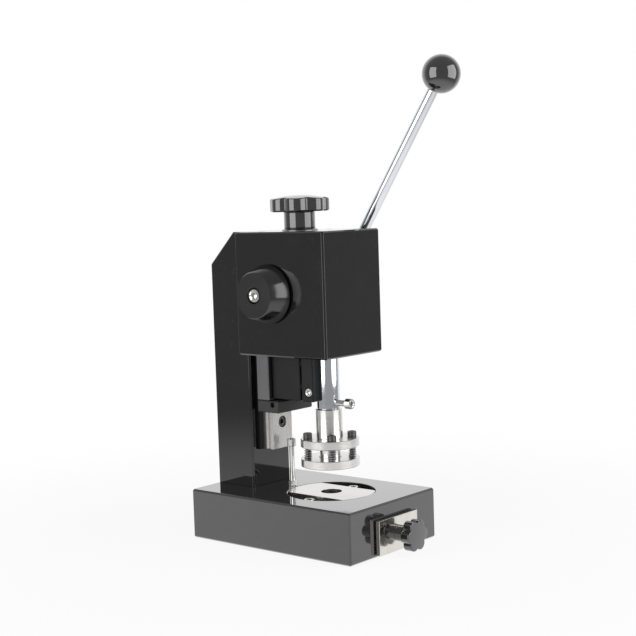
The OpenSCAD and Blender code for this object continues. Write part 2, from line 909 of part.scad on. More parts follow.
module lower_end_cap() {
    half = carriage_w / 2 + cap_side;
    port_y = carriage_front - port_set;
    color(dark_steel) difference() {
        bevel_block([-half, carriage_front - cap_lip, cap_low],
            [half, carriage_back - fit, body_low], part_bevel);
        rail_body(2 * rail_gap, cap_low - over, body_low + over);
        for (side = [-1, 1]) {
            translate([side * half, port_y, cap_low + port_rise])
                rotate([0, -90 * side, 0]) translate([0, 0, -over])
                    cylinder(h = port_depth + over, d = port_d);
        }
        at_end_caps() screw_hole(m3, cap_t + cap_thread + hole_spare, m3);
    }
}

module upper_end_cap() {
    half = carriage_w / 2 + cap_side;
    color(dark_steel) difference() {
        bevel_block([-half, carriage_front + slip, body_top],
            [half, carriage_back - fit, carriage_top], part_bevel);
        rail_body(2 * rail_gap, body_top - over, carriage_top + over);
        at_end_caps() screw_hole(m3, cap_t + cap_thread + hole_spare, m3);
    }
}

module end_cap_screws() {
    color(dark_steel) at_end_caps() cap_screw(m3, cap_t + cap_thread);
}

module slide_block() {
    color(black) difference() {
        union() {
            bevel_block([-slide_half, slide_front, slide_low],
                [slide_half, carriage_front, clamp_top], block_bevel);
            bevel_block([-top_half, slide_front, clamp_step],
                [top_half, carriage_front, clamp_top], block_bevel);
        }
        at_slide_screws() screw_hole(m6, slide_block_t, m6);
        at_clamp_screws() screw_hole(m6, slide_front - clamp_nose + clamp_thread + hole_spare, 0);
    }
}

module slide_block_screws() {
    color(dark_steel) at_slide_screws() cap_screw(m6, slide_screw_len);
}

module ram_clamp() {
    pad = slide_half - pad_side;
    top_pad = top_half - pad_side;
    color(black) difference() {
        union() {
            bevel_block([-slide_half, clamp_front, clamp_low],
                [slide_half, clamp_back, clamp_top], block_bevel);
            block([-pad, clamp_back - over, clamp_low + pad_foot], [pad, slide_front, clamp_top]);
            block([-top_pad, clamp_back - over, clamp_step + pad_foot], [top_pad, slide_front, clamp_top]);
            bevel_block([-top_half, clamp_nose, clamp_step],
                [top_half, clamp_back, clamp_top], block_bevel);
            block([-tongue_t, tongue_back - tongue_t, clamp_top - over],
                [tongue_t, tongue_back, tongue_top]);
        }
        cyl_z(0, ram_y, clamp_low - over, rod_top + fit, ram_rod_d + press);
        at_clamp_screws() screw_hole(m6, slide_front - clamp_nose, m6);
        at_rack_screws() screw_hole(m5, tongue_t, m5);
        for (side = [-1, 1]) {
            translate([side * (slide_half - m5), grip_y, grip_z]) rotate([0, 90 * side, 0])
                screw_hole(m5, slide_half, m5);
        }
    }
}

module ram_clamp_screws() {
    color(dark_steel) at_clamp_screws() cap_screw(m6, slide_front - clamp_nose + clamp_thread);
}

module rod_grip_screws() {
    grip = slide_half - m5 - grip_tip;
    color(dark_steel) {
        head_left_way([m5 - slide_half, grip_y, grip_z]) cap_screw(m5, grip);
        head_right_way([slide_half - m5, grip_y, grip_z]) cap_screw(m5, grip);
    }
}

module ram_rod() {
    color(bright) difference() {
        translate([0, ram_y, rod_low]) turned(ram_rod_d, rod_top - rod_low, block_bevel);
        cyl_z(0, ram_y, rod_low - over, rod_low + spigot_len + fit, spigot_d + press);
        cyl_y(0, punch_screw_z, ram_y - ram_rod_d, ram_y, m6 + fit);
    }
}

// Straight-sided rack teeth that point back, on a bar behind the clamp's tongue
module rack() {
    root = rack_line - 1.25 * tooth_module;
    tip = rack_line + tooth_module;
    slope = tan(pressure_angle);
    half = tooth_pitch / 4 - backlash;
    count = floor((rack_top - shaft_z - rack_end) / tooth_pitch);
    color(steel) difference() {
        rotate([90, 0, 90]) translate([0, 0, -rack_w / 2]) linear_extrude(rack_w) {
            polygon([
                [tongue_back, clamp_top], [root, clamp_top], [root, rack_top], [tongue_back, rack_top]
            ]);
            for (i = [-teeth_below:count - 1]) {
                z = shaft_z + (i + 0.5) * tooth_pitch;
                low = half + (rack_line - root + over / 2) * slope;
                high = half - (tip - rack_line) * slope;
                polygon([
                    [root - over / 2, z - low], [tip, z - high], [tip, z + high], [root - over / 2, z + low]
                ]);
            }
        }
        at_rack_screws() screw_hole(m5, tongue_t + rack_thread + hole_spare, 0);
    }
}

module rack_screws() {
    color(dark_steel) at_rack_screws() cap_screw(m5, tongue_t + rack_thread);
}

// Bronze bush with its flange outside the cheek; side is -1 on the left
module bush(side) {
    color(bronze) translate([0, shaft_y, shaft_z]) rotate([0, 90 * side, 0]) rotate_extrude() polygon([
        [shaft_d / 2 + fit / 2, cheek_in], [bush_d / 2, cheek_in], [bush_d / 2, cheek_out],
        [bush_d / 2 + bush_wall, cheek_out], [bush_d / 2 + bush_wall, cheek_out + flange_t],
        [shaft_d / 2 + fit / 2, cheek_out + flange_t]
    ]);
}

module left_bush() {
    bush(-1);
}

module right_bush() {
    bush(1);
}

module pinion_shaft() {
    color(steel) difference() {
        cyl_x(shaft_y, shaft_z, shaft_left, shaft_right, shaft_d);
        block([-key_len / 2, shaft_y - key_w / 2, shaft_z + shaft_d / 2 - key_depth],
            [key_len / 2, shaft_y + key_w / 2, shaft_z + shaft_d]);
        cyl_x(shaft_y, shaft_z, shaft_left - over, shaft_left + shaft_screw, m8 + fit);
        cyl_x(shaft_y, shaft_z, shaft_right - shaft_screw, shaft_right + over, m8 + fit);
    }
}

// Involute gear outline with a tooth centred on +X
function involute(r) = let (a = acos(min(1, pitch_r * cos(pressure_angle) / r)))
    tan(a) * 180 / PI - a;

function flank_angle(r) = 90 / pinion_teeth + involute(pitch_r) - involute(r)
    - backlash / pitch_r * 180 / PI;

module gear_outline() {
    base_r = pitch_r * cos(pressure_angle);
    radii = [root_r, base_r, (base_r + pitch_r) / 2, pitch_r, (pitch_r + tip_r) / 2, tip_r];
    up = [for (r = radii) [r, -flank_angle(max(r, base_r))]];
    down = [for (i = [len(radii) - 1:-1:0]) [radii[i], flank_angle(max(radii[i], base_r))]];
    polygon([
        for (t = [0:pinion_teeth - 1]) for (p = concat(up, down))
            let (a = p[1] + t * 360 / pinion_teeth) p[0] * [cos(a), sin(a)]
    ]);
}

module pinion() {
    color(steel) difference() {
        union() {
            translate([-pinion_w / 2, shaft_y, shaft_z]) rotate([90, 0, 90])
                linear_extrude(pinion_w) rotate(180) gear_outline();
            cyl_x(shaft_y, shaft_z, -pinion_half, pinion_half, drum_d);
        }
        cyl_x(shaft_y, shaft_z, -pinion_half - over, pinion_half + over, shaft_d + press);
        block([-pinion_half - over, shaft_y - key_w / 2, shaft_z],
            [pinion_half + over, shaft_y + key_w / 2, shaft_z + shaft_d / 2 - key_depth + key_h + fit]);
    }
}

module pinion_key() {
    color(steel) block([-key_len / 2, shaft_y - key_w / 2, shaft_z + shaft_d / 2 - key_depth],
        [key_len / 2, shaft_y + key_w / 2, shaft_z + shaft_d / 2 - key_depth + key_h]);
}

// Hub on X: bore for the shaft, floor for its screw, recess for the screw's head.
// Radius r0 at the inner end, r1 at the outer end; side is -1 on the left
module hub(side, r0, r1, len, b) {
    x0 = hub_in;
    x1 = hub_in + len;
    floor_x = x1 - hub_recess - hub_floor;
    translate([0, shaft_y, shaft_z]) rotate([0, 90 * side, 0]) rotate_extrude() polygon([
        [(shaft_d + press) / 2, x0], [r0 - b, x0], [r0, x0 + b], [r1, x1 - b], [r1 - b, x1],
        [head_of(m8) / 2 + hub_play, x1], [head_of(m8) / 2 + hub_play, x1 - hub_recess],
        [(m8 + fit) / 2, x1 - hub_recess], [(m8 + fit) / 2, floor_x], [(shaft_d + press) / 2, floor_x]
    ]);
}

module left_hub() {
    color(black) hub(-1, hub_d / 2, hub_end_d / 2, hub_len, hub_bevel);
}

module left_hub_screw() {
    color(bright) head_left_way([-(hub_in + hub_len - hub_recess), shaft_y, shaft_z])
        cap_screw(m8, hub_floor + shaft_screw - shaft_screw_spare);
}

module lever_hub() {
    color(black) difference() {
        hub(1, lever_hub_d / 2, lever_hub_d / 2, lever_hub_len, lever_hub_bevel);
        at_lever() translate([0, 0, lever_root - hub_gap]) cylinder(h = lever_hub_d, d = lever_d + press);
    }
}

module lever_hub_screw() {
    color(bright) head_right_way([hub_in + lever_hub_len - hub_recess, shaft_y, shaft_z])
        cap_screw(m8, hub_floor + shaft_screw - shaft_screw_spare);
}

module lever_rod() {
    color(bright) at_lever() translate([0, 0, lever_root])
        turned(lever_d, lever_end - lever_root, block_bevel);
}

module lever_ball() {
    color(black) at_lever() difference() {
        translate([0, 0, lever_len]) sphere(d = ball_d);
        translate([0, 0, ball_seat - ball_d]) cylinder(h = ball_d, d = ball_d);
        translate([0, 0, ball_seat - over])
            cylinder(h = lever_end - ball_seat + over + fit, d = lever_d + press);
    }
}

module return_spring() {
    color(steel) translate([0, clamp_nose + return_spring_d / 2 + ring_bevel, 0])
        coil(return_spring_d, return_wire_d, clamp_top, plate_low, return_turns);
}

module brake_washer() {
    inner = (brake_stem_d + washer_play) / 2;
    outer = knob_neck_d / 2 + washer_edge;
    color(steel) translate([0, knob_y, top_z]) rotate_extrude() polygon([
        [inner, 0], [outer, 0], [outer, sheet_edge], [outer - washer_cone, washer_t], [inner, washer_t]
    ]);
}

module brake_knob() {
    color(black) translate([0, knob_y, knob_low]) rotate(knob_turn)
        star_knob(knob_d, knob_head_h, knob_rim_h, knob_neck_d, knob_neck_h, knob_lobes,
            brake_stem_d + press);
}

module brake_stem() {
    color(steel) translate([0, knob_y, stem_low])
        turned(brake_stem_d, knob_low + knob_neck_h + knob_head_h * stem_share - stem_low, ring_bevel);
}

module brake_collar() {
    color(steel) translate([0, knob_y, collar_top - collar_h])
        ring(brake_stem_d + 2 * collar_w, brake_stem_d + press, collar_h, ring_bevel);
}

module brake_shoe() {
    color(bronze) difference() {
        block([-pinion_half, shoe_front, shoe_low], [pinion_half, shoe_back, shoe_top]);
        block([-pinion_w / 2 - shoe_side_gap, shoe_front - over, shoe_low - over],
            [pinion_w / 2 + shoe_side_gap, shoe_back + over, shoe_bridge]);
        cyl_x(shaft_y, shaft_z, -pinion_half - over, pinion_half + over, drum_d + 2 * shoe_gap);
        cyl_z(0, knob_y, shoe_bridge - over, shoe_top + over, brake_stem_d + fit);
    }
}

module punch_clamp_screw() {
    color(bright) head_front_way([0, ram_y - punch_screw_reach, punch_screw_z])
        cap_screw(m6, punch_screw_reach - spigot_d / 2 + spigot_flat);
}

module punch_holder() {
    color(steel) difference() {
        union() {
            translate([0, ram_y, upper_low]) ring(ring_d, spigot_d, upper_ring_t, ring_bevel);
            translate([0, ram_y, upper_top - over]) turned(shank_d, shank_len + over, part_bevel);
            translate([0, ram_y, upper_low + upper_ring_t / 2])
                cylinder(h = upper_ring_t / 2, d = spigot_d + over);
            translate([0, ram_y, rod_low - over]) turned(spigot_d, spigot_len + over, part_bevel);
        }
        cyl_z(0, ram_y, upper_low - over, upper_low + punch_shank_len + fit, spigot_d + press);
        block([-spigot_d, ram_y - spigot_d, rod_low + flat_rise],
            [spigot_d, ram_y - spigot_d / 2 + spigot_flat, rod_low + spigot_len + over]);
        at_posts() cyl_z(0, 0, upper_low - over, upper_top + over, post_d + fit);
    }
}

module punch() {
    color(bright) {
        cyl_z(0, ram_y, punch_tip, upper_low, disc_d);
        translate([0, ram_y, upper_low - over]) turned(spigot_d, punch_shank_len + over, ring_bevel);
    }
}

module stripper_ring() {
    color(steel) difference() {
        translate([0, ram_y, stripper_low]) ring(ring_d, disc_d + 2 * punch_gap, stripper_t, ring_bevel);
        at_posts() cyl_z(0, 0, stripper_low + post_floor, stripper_top + over, m4 + fit);
    }
}

module stripper_screws() {
    color(dark_steel) at_posts() {
        translate([0, 0, upper_top + fit]) cap_screw(post_d, upper_top - stripper_top + fit);
        cyl_z(0, 0, stripper_low + post_floor + hole_spare / 2, stripper_top + over, m4);
    }
}

module stripper_springs() {
    color(steel) at_posts()
        coil(stripper_spring_d, stripper_wire_d, stripper_top, upper_low, stripper_turns);
}

module die_plate() {
    flange_top = recess_low + die_flange_t;
    color(bright) difference() {
        union() {
            translate([0, ram_y, recess_low]) turned(die_d, die_flange_t, ring_bevel);
            intersection() {
                translate([0, ram_y, recess_low]) turned(die_d, die_t, ring_bevel);
                block([-die_bar_w / 2, ram_y - die_d, recess_low], [die_bar_w / 2, ram_y + die_d, base_h]);
            }
        }
        die_hole(disc_d + fit, recess_low - over, base_h + over);
        die_hole(disc_d + die_relief, recess_low - over, recess_low + die_t / 2);
        for (x = [-die_screw_x, die_screw_x]) {
            cyl_z(x, ram_y, recess_low - over, flange_top + over, m6 + seat_play);
        }
    }
}

module die_screws() {
    color(steel) for (x = [-die_screw_x, die_screw_x]) {
        head_up([x, ram_y, recess_low + die_flange_t]) cap_screw(m6, die_flange_t + die_thread);
    }
}

module stop_screw() {
    foot = base_h - stop_hole + over;
    color(bright) translate([0, stop_y, foot]) difference() {
        union() {
            cylinder(h = stop_top - foot - over, d = stop_d);
            translate([0, 0, stop_top - foot - stop_head_h])
                turned(head_of(stop_d) + slip, stop_head_h, part_bevel);
        }
        translate([0, 0, stop_top - foot - stop_socket])
            cylinder(h = stop_socket + over, d = stop_d * socket_share, $fn = 6);
    }
}

module stop_nut() {
    color(steel) translate([0, stop_y, base_h]) difference() {
        cylinder(h = nut_t, d = stop_flats / cos(30), $fn = 6);
        translate([0, 0, -over]) cylinder(h = nut_t + 2 * over, d = stop_d + fit);
    }
}

module drawer_tray() {
    half = tray_w / 2;
    color(dark_steel) difference() {
        block([-half, plate_back, tray_low], [half, tray_back, tray_top]);
        block([tray_wall - half, plate_back + tray_front_t, tray_low + tray_wall],
            [half - tray_wall, tray_back - tray_wall, tray_top + over]);
        cyl_y(0, pull_z, plate_back - over, plate_back + tray_front_t + over, m6 + fit);
    }
}

module drawer_front() {
    color(bright) difference() {
        bevel_block([-plate_w / 2, plate_front, plate_low_z],
            [plate_w / 2, plate_back, plate_low_z + plate_h], sheet_edge);
        cyl_y(0, pull_z, plate_front - over, plate_back + over, m6 + fit);
    }
}

module drawer_knob() {
    color(black) translate([0, plate_front, pull_z]) rotate([90, 0, 0])
        star_knob(pull_d, pull_head_h, pull_rim_h, pull_neck_d, pull_neck_h, pull_lobes, m6 + press);
}

module drawer_knob_stud() {
    inner = plate_back + tray_front_t + nut_t + hole_spare;
    color(steel) cyl_y(0, pull_z, plate_front - pull_neck_h, inner, m6);
}

module drawer_knob_nut() {
    color(steel) translate([0, plate_back + tray_front_t, pull_z]) rotate([-90, 0, 0]) difference() {
        cylinder(h = nut_t, d = stud_flats / cos(30), $fn = 6);
        translate([0, 0, -over]) cylinder(h = nut_t + 2 * over, d = m6 + press);
    }
}

base_block();
column();
column_bolts();
head_housing();
head_bolts();
head_top_plate();
top_plate_screws();
rail_backing_plate();
guide_rail();
rail_screws();
carriage_body();
lower_end_cap();
upper_end_cap();
end_cap_screws();
slide_block();
slide_block_screws();
ram_clamp();
ram_clamp_screws();
rod_grip_screws();
ram_rod();
rack();
rack_screws();
left_bush();
right_bush();
pinion_shaft();
pinion();
pinion_key();
left_hub();
left_hub_screw();
lever_hub();
lever_hub_screw();
lever_rod();
lever_ball();
return_spring();
brake_washer();
brake_knob();
brake_stem();
brake_collar();
brake_shoe();
punch_clamp_screw();
punch_holder();
punch();
stripper_ring();
stripper_screws();
stripper_springs();
die_plate();
die_screws();
stop_screw();
stop_nut();
drawer_tray();
drawer_front();
drawer_knob();
drawer_knob_stud();
drawer_knob_nut();
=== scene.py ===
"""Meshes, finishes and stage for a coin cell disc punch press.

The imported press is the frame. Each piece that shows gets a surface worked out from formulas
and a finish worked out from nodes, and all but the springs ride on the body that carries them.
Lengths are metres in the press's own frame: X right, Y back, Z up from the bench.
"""
import json
import math

import bmesh
import bpy
import numpy as np
from bpy.props import FloatProperty, FloatVectorProperty, IntProperty, PointerProperty
from mathutils import Matrix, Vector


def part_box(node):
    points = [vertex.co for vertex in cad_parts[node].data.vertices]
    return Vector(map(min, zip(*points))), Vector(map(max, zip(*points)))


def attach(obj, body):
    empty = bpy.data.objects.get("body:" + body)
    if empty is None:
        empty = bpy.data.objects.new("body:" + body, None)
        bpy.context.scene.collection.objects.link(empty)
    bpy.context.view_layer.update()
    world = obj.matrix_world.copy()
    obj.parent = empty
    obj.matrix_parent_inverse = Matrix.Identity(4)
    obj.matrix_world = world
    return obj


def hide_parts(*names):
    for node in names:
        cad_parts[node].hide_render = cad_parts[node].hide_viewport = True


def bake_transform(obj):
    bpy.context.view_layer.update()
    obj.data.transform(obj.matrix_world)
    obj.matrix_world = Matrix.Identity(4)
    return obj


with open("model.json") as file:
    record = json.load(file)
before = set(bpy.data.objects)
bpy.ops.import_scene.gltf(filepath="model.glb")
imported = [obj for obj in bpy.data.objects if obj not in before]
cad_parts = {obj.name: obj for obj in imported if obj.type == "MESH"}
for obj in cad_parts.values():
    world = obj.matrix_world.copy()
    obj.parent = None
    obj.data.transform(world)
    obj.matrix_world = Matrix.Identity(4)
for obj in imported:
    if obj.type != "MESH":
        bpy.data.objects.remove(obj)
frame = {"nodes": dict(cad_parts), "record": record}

bl_info = {
    "name": "Disc punch press",
    "version": (1, 0, 0),
    "blender": (4, 5, 0),
    "location": "3D View > Sidebar > Press",
    "description": "Meshes, finishes and stage for a coin cell disc punch press",
    "category": "Object",
}

MM = 0.001
TURN = 2 * math.pi
RIGHT, BACK, UP = np.eye(3)
LEFT, FRONT, DOWN = -np.eye(3)
WELD = 1e-6
OVER = 1 * MM
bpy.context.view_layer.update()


def extent(node):
    """Low corner, high corner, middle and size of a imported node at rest."""
    low, high = (np.array(corner, float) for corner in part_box(node))
    return low, high, (low + high) / 2, high - low


# Surfaces: each function returns (points, faces), its faces turned outwards


def angles(columns):
    """Evenly spaced angles of one turn."""
    return np.arange(columns) * TURN / columns


def quads(rows, columns, ring=False):
    """Faces of a grid whose columns run round: a quad joins two neighbours to the two above them."""
    low = np.arange(rows * columns).reshape(rows, columns)
    high = np.roll(low, -1, axis=0)
    faces = np.stack([low, np.roll(low, -1, axis=1), np.roll(high, -1, axis=1), high], axis=-1)
    return (faces if ring else faces[:-1]).reshape(-1, 4).tolist()


def polar(rows, columns=96, ring=False):
    """Surface round Z: point (row, angle a) = (r cos a, r sin a, z).

    A row's radius r and height z are numbers or arrays over the angle. Rows run from
    the bottom outwards, up and back in. In a ring the last row joins the first.
    """
    a = angles(columns)
    grid = np.array([[r * np.cos(a), r * np.sin(a), z + 0 * a] for r, z in rows])
    return grid.transpose(0, 2, 1).reshape(-1, 3), quads(len(rows), columns, ring)


def inset(outline, depth):
    """Outline moved inwards: a corner goes along the sum of its edges' inward normals."""
    after = np.roll(outline, -1, axis=0) - outline
    normal = np.stack([-after[:, 1], after[:, 0]], axis=1)
    normal /= np.linalg.norm(normal, axis=1)[:, None]
    before = np.roll(normal, 1, axis=0)
    miter = (normal + before) / (1 + (normal * before).sum(axis=1))[:, None]
    return outline + depth * miter


def prism(outline, profile):
    """Outline carried along Z: at each (inset, height) of the profile it moves inwards by the inset."""
    outline = np.asarray(outline, float)
    count = len(outline)
    layers = [np.c_[inset(outline, depth), np.full(count, z)] for depth, z in profile]
    top = (len(profile) - 1) * count
    caps = [list(range(count - 1, -1, -1)), list(range(top, top + count))]
    return np.concatenate(layers), quads(len(profile), count) + caps


def rectangle(low, high):
    """Four corners of a rectangle, anticlockwise."""
    return np.array([(low[0], low[1]), (high[0], low[1]), (high[0], high[1]), (low[0], high[1])])


def cut_corners(low, high, cut):
    """Rectangle whose corners are cut at 45 degrees."""
    corners = rectangle(low, high)
    ahead = np.sign(np.roll(corners, -1, axis=0) - corners)
    back = np.sign(np.roll(corners, 1, axis=0) - corners)
    return np.stack([corners + cut * back, corners + cut * ahead], axis=1).reshape(-1, 2)


def block(low, high):
    """Sharp box between two corners."""
    return prism(rectangle(low, high), [(0, low[2]), (0, high[2])])


def bevelled_block(low, high, bevel):
    """Box whose edges are all cut at 45 degrees."""
    ends = [(bevel, low[2]), (0, low[2] + bevel), (0, high[2] - bevel), (bevel, high[2])]
    return prism(cut_corners(low, high, bevel), ends)


def aim(shell, origin, along, across=None):
    """Shell made on Z, turned so that Z runs along a direction and X as near across as may be."""
    points, faces = shell
    z = np.array(along, float) / np.linalg.norm(along)
    spare = RIGHT if abs(z[0]) < 0.7 else UP
    y = np.cross(z, spare if across is None else across)
    y /= np.linalg.norm(y)
    return points @ np.stack([np.cross(y, z), y, z]) + np.asarray(origin, float), faces


def rod(start, end, radius, columns=64):
    """Round bar between two points."""
    length = np.linalg.norm(np.subtract(end, start))
    rows = [(0, 0), (radius, 0), (radius, length), (0, length)]
    return aim(polar(rows, columns), start, np.subtract(end, start))


def bore(start, mouth, radius, lip, columns=64):
    """Cutter for a hole from start out through its mouth, with a lip broken at 45 degrees."""
    depth = np.linalg.norm(np.subtract(mouth, start))
    rows = [(0, 0), (radius, 0), (radius, depth - lip), (radius + lip, depth)]
    rows += [(radius + lip, depth + OVER), (0, depth + OVER)]
    return aim(polar(rows, columns), start, np.subtract(mouth, start))


def joined(shells):
    """Several shells as one."""
    points, faces, count = [], [], 0
    for some, turns in shells:
        points.append(some)
        faces += [[corner + count for corner in face] for face in turns]
        count += len(some)
    return np.concatenate(points), faces


def welded(shell):
    """Mesh of a shell, with its doubled points merged."""
    points, faces = shell
    mesh = bpy.data.meshes.new("shape")
    mesh.from_pydata(points.tolist(), [], faces)
    work = bmesh.new()
    work.from_mesh(mesh)
    bmesh.ops.remove_doubles(work, verts=work.verts, dist=WELD)
    work.to_mesh(mesh)
    work.free()
    return mesh


def carved(shell, cutters=(), additions=()):
    """Mesh of a solid with others added to it and others cut from it, by exact Boolean steps."""
    solid = bpy.data.objects.new("solid", welded(shell))
    tools = [("UNION", part) for part in additions]
    if cutters:
        tools.append(("DIFFERENCE", joined(cutters)))
    made = [solid]
    for operation, part in tools:
        tool = bpy.data.objects.new("tool", welded(part))
        step = solid.modifiers.new("step", "BOOLEAN")
        step.operation = operation
        step.solver = "EXACT"
        step.use_self = operation == "DIFFERENCE"
        step.object = tool
        made.append(tool)
    for thing in made:
        bpy.context.scene.collection.objects.link(thing)
    graph = bpy.context.evaluated_depsgraph_get()
    mesh = bpy.data.meshes.new_from_object(solid.evaluated_get(graph))
    for thing in made:
        data = thing.data
        bpy.data.objects.remove(thing)
        bpy.data.meshes.remove(data)
    return mesh


def hexagon(apothem, columns):
    """Radius over the angle of a hexagon with flats facing the ends of X, its corners just broken."""
    sector = np.mod(angles(columns) + TURN / 12, TURN / 6) - TURN / 12
    return np.minimum(apothem / np.cos(sector), apothem * 1.135)


def hex_nut(apothem, height, hole, columns=96):
    """Nut: a hexagon whose corners a 30 degree cone turns off at both faces."""
    flat = hexagon(apothem, columns)
    land = apothem * 0.97
    fall = (flat - land) * math.tan(math.radians(30))
    lip = 0.3 * MM
    return polar([
        (hole, lip), (hole + lip, 0), (land, 0), (flat, fall),
        (flat, height - fall), (land, height), (hole + lip, height), (hole, height - lip),
    ], columns, ring=True)


def thread(radius, pitch, low, high, columns=96, steps=6):
    """Rows of a helical thread: the radius dips along a triangle wave of height / pitch - turn,
    and fades to the root at both ends."""
    z = np.arange(low, high, pitch / steps)
    wave = np.abs(2 * np.mod(z[:, None] / pitch - angles(columns) / TURN, 1) - 1)
    ends = np.clip(np.minimum(z - low, high - z) / pitch, 0, 1)[:, None]
    depth = 0.54 * pitch
    return [(row, height) for row, height in zip(radius - depth * (1 - ends * wave), z)]


def head_width(size):
    """Head diameter of a socket cap screw."""
    return 1.5 * size + 1 * MM


def cap_screw(size, length, pitch=0.0, columns=96):
    """Socket cap screw on Z, its head standing on z = 0: shank, knurled head, hexagon socket.

    The knurl alternates between two radii from column to column.
    """
    head = head_width(size) / 2
    knurl = head * (1 - 0.02 * (np.arange(columns) % 2))
    socket = hexagon(0.4 * size, columns)
    tip = [(0, -length), (0.38 * size, -length), (0.46 * size, -length + 0.1 * size)]
    if pitch:
        shank = thread(size / 2, pitch, -length + 0.12 * size, -0.4 * pitch, columns)
        shank.append((size / 2 - 0.54 * pitch, -0.2 * pitch))
    else:
        shank = [(size / 2, -length + 0.14 * size)]
    return polar(tip + shank + [
        (size / 2, 0), (head - 0.04 * size, 0), (head, 0.04 * size),
        (head, 0.12 * size), (knurl, 0.15 * size), (knurl, 0.8 * size), (head * 0.985, 0.83 * size),
        (head * 0.985, 0.9 * size), (head * 0.96, 0.96 * size), (head * 0.9, size),
        (0.5 * size, size), (socket, 0.95 * size), (socket, 0.52 * size),
        (0.2 * size, 0.46 * size), (0, 0.42 * size),
    ], columns)


class Screws:
    """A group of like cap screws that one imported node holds.

    size is in millimetres. facings are the ways that heads face, and counts how many
    screws there are along X, Y and Z. reach is a screw's length under its head, and
    without it the group's own depth gives it. pitch, where given, cuts a thread, and
    look is a finish other than the slot's own.
    """

    def __init__(self, node, size, facings, counts, body, slot="blackened_steel", reach=None, pitch=0.0,
                 look=None):
        self.node = node
        self.size = size * MM
        self.facings = facings
        self.counts = counts
        self.body = body
        self.slot = slot
        self.reach = reach
        self.pitch = pitch
        self.look = look

    def seats(self):
        """(seat, facing) of each screw. Seats are spread evenly over the group's box, a head's
        radius in from its sides and one head's height down from the side that a head faces."""
        low, high, middle, _ = extent(self.node)
        rim = head_width(self.size) / 2
        lines = [
            np.linspace(low[k] + rim, high[k] - rim, count) if count > 1 else middle[k:k + 1]
            for k, count in enumerate(self.counts)
        ]
        grid = np.stack(np.meshgrid(*lines, indexing="ij"), axis=-1).reshape(-1, 3)
        for facing in self.facings:
            k = int(np.argmax(np.abs(facing)))
            grid[:, k] = high[k] - self.size if facing[k] > 0 else low[k] + self.size
            for seat in grid.copy():
                yield seat, facing

    def counterbores(self, face, lip):
        """Cutters for the heads, from their seats out to the face they are let into."""
        radius = head_width(self.size) / 2 + sizes().screw_play
        cutters = []
        for seat, facing in self.seats():
            mouth = np.where(np.abs(facing) > 0, face * np.ones(3), seat)
            cutters.append(bore(seat, mouth, radius, lip, 48))
        return cutters

    def make(self):
        """Makes the group's piece."""
        _, _, _, size = extent(self.node)
        depth = size[int(np.argmax(np.abs(self.facings[0])))] - self.size
        screw = cap_screw(self.size, self.reach or depth, self.pitch)
        shells = [aim(screw, seat, facing) for seat, facing in self.seats()]
        dress(self.node + "_piece", welded(joined(shells)), self.slot, self.body, [self.node],
              look=self.look)


def coil(radius, wire, low, high, turns, closed=0.75, sides=12, per_turn=40):
    """Compression spring on Z: a tube round the helix (R cos t, R sin t, z(t)).

    The climb is one wire a turn in the closed ends and even in between, eased over a
    quarter turn. The ends are ground flat at the low and the high plane.
    """
    total = turns + 2 * closed
    t = np.linspace(0, total, int(total * per_turn) + 1)
    ease = np.clip(np.minimum(t - closed, total - closed - t) / 0.25 + 0.5, 0, 1)
    free = (high - low - wire * (1 + 2 * closed)) / turns
    climb = np.concatenate([[0], np.cumsum((wire + (free - wire) * ease)[1:])])
    start, end = low + wire * 0.2, high - wire * 0.2
    z = start + climb / climb[-1] * (end - start)
    a = t * TURN
    spoke = np.stack([np.cos(a), np.sin(a), 0 * a], axis=1)
    centre = spoke * radius + z[:, None] * UP
    along = np.gradient(centre, axis=0)
    along /= np.linalg.norm(along, axis=1)[:, None]
    rise = np.cross(along, spoke)
    k = angles(sides)
    ring = np.cos(k)[:, None] * spoke[:, None, :] + np.sin(k)[:, None] * rise[:, None, :]
    points = (centre[:, None, :] + wire / 2 * ring).reshape(-1, 3)
    points[:, 2] = np.clip(points[:, 2], low, high)
    faces = [face[::-1] for face in quads(len(t), sides)]
    last = (len(t) - 1) * sides
    caps = [list(range(sides)), list(range(last + sides - 1, last - 1, -1))]
    return points, faces + caps


def lobes(radius, count, lobe_share, soft, columns):
    """Radius over the angle of a lobed outline, with a lobe at angle 0.

    A lobe is a circle, and an angle's ray leaves it at reach cos d + sqrt(lobe^2 - (reach sin d)^2).
    Two neighbours meet in a soft greatest of their rays: soft log(sum of exp(ray / soft)).
    """
    lobe = radius * lobe_share
    reach = radius - lobe
    pitch = TURN / count
    off = np.mod(angles(columns), pitch)
    rays = [
        reach * np.cos(d) + np.sqrt(np.maximum(lobe ** 2 - (reach * np.sin(d)) ** 2, 0))
        for d in (off, pitch - off)
    ]
    return soft * np.logaddexp(rays[0] / soft, rays[1] / soft)


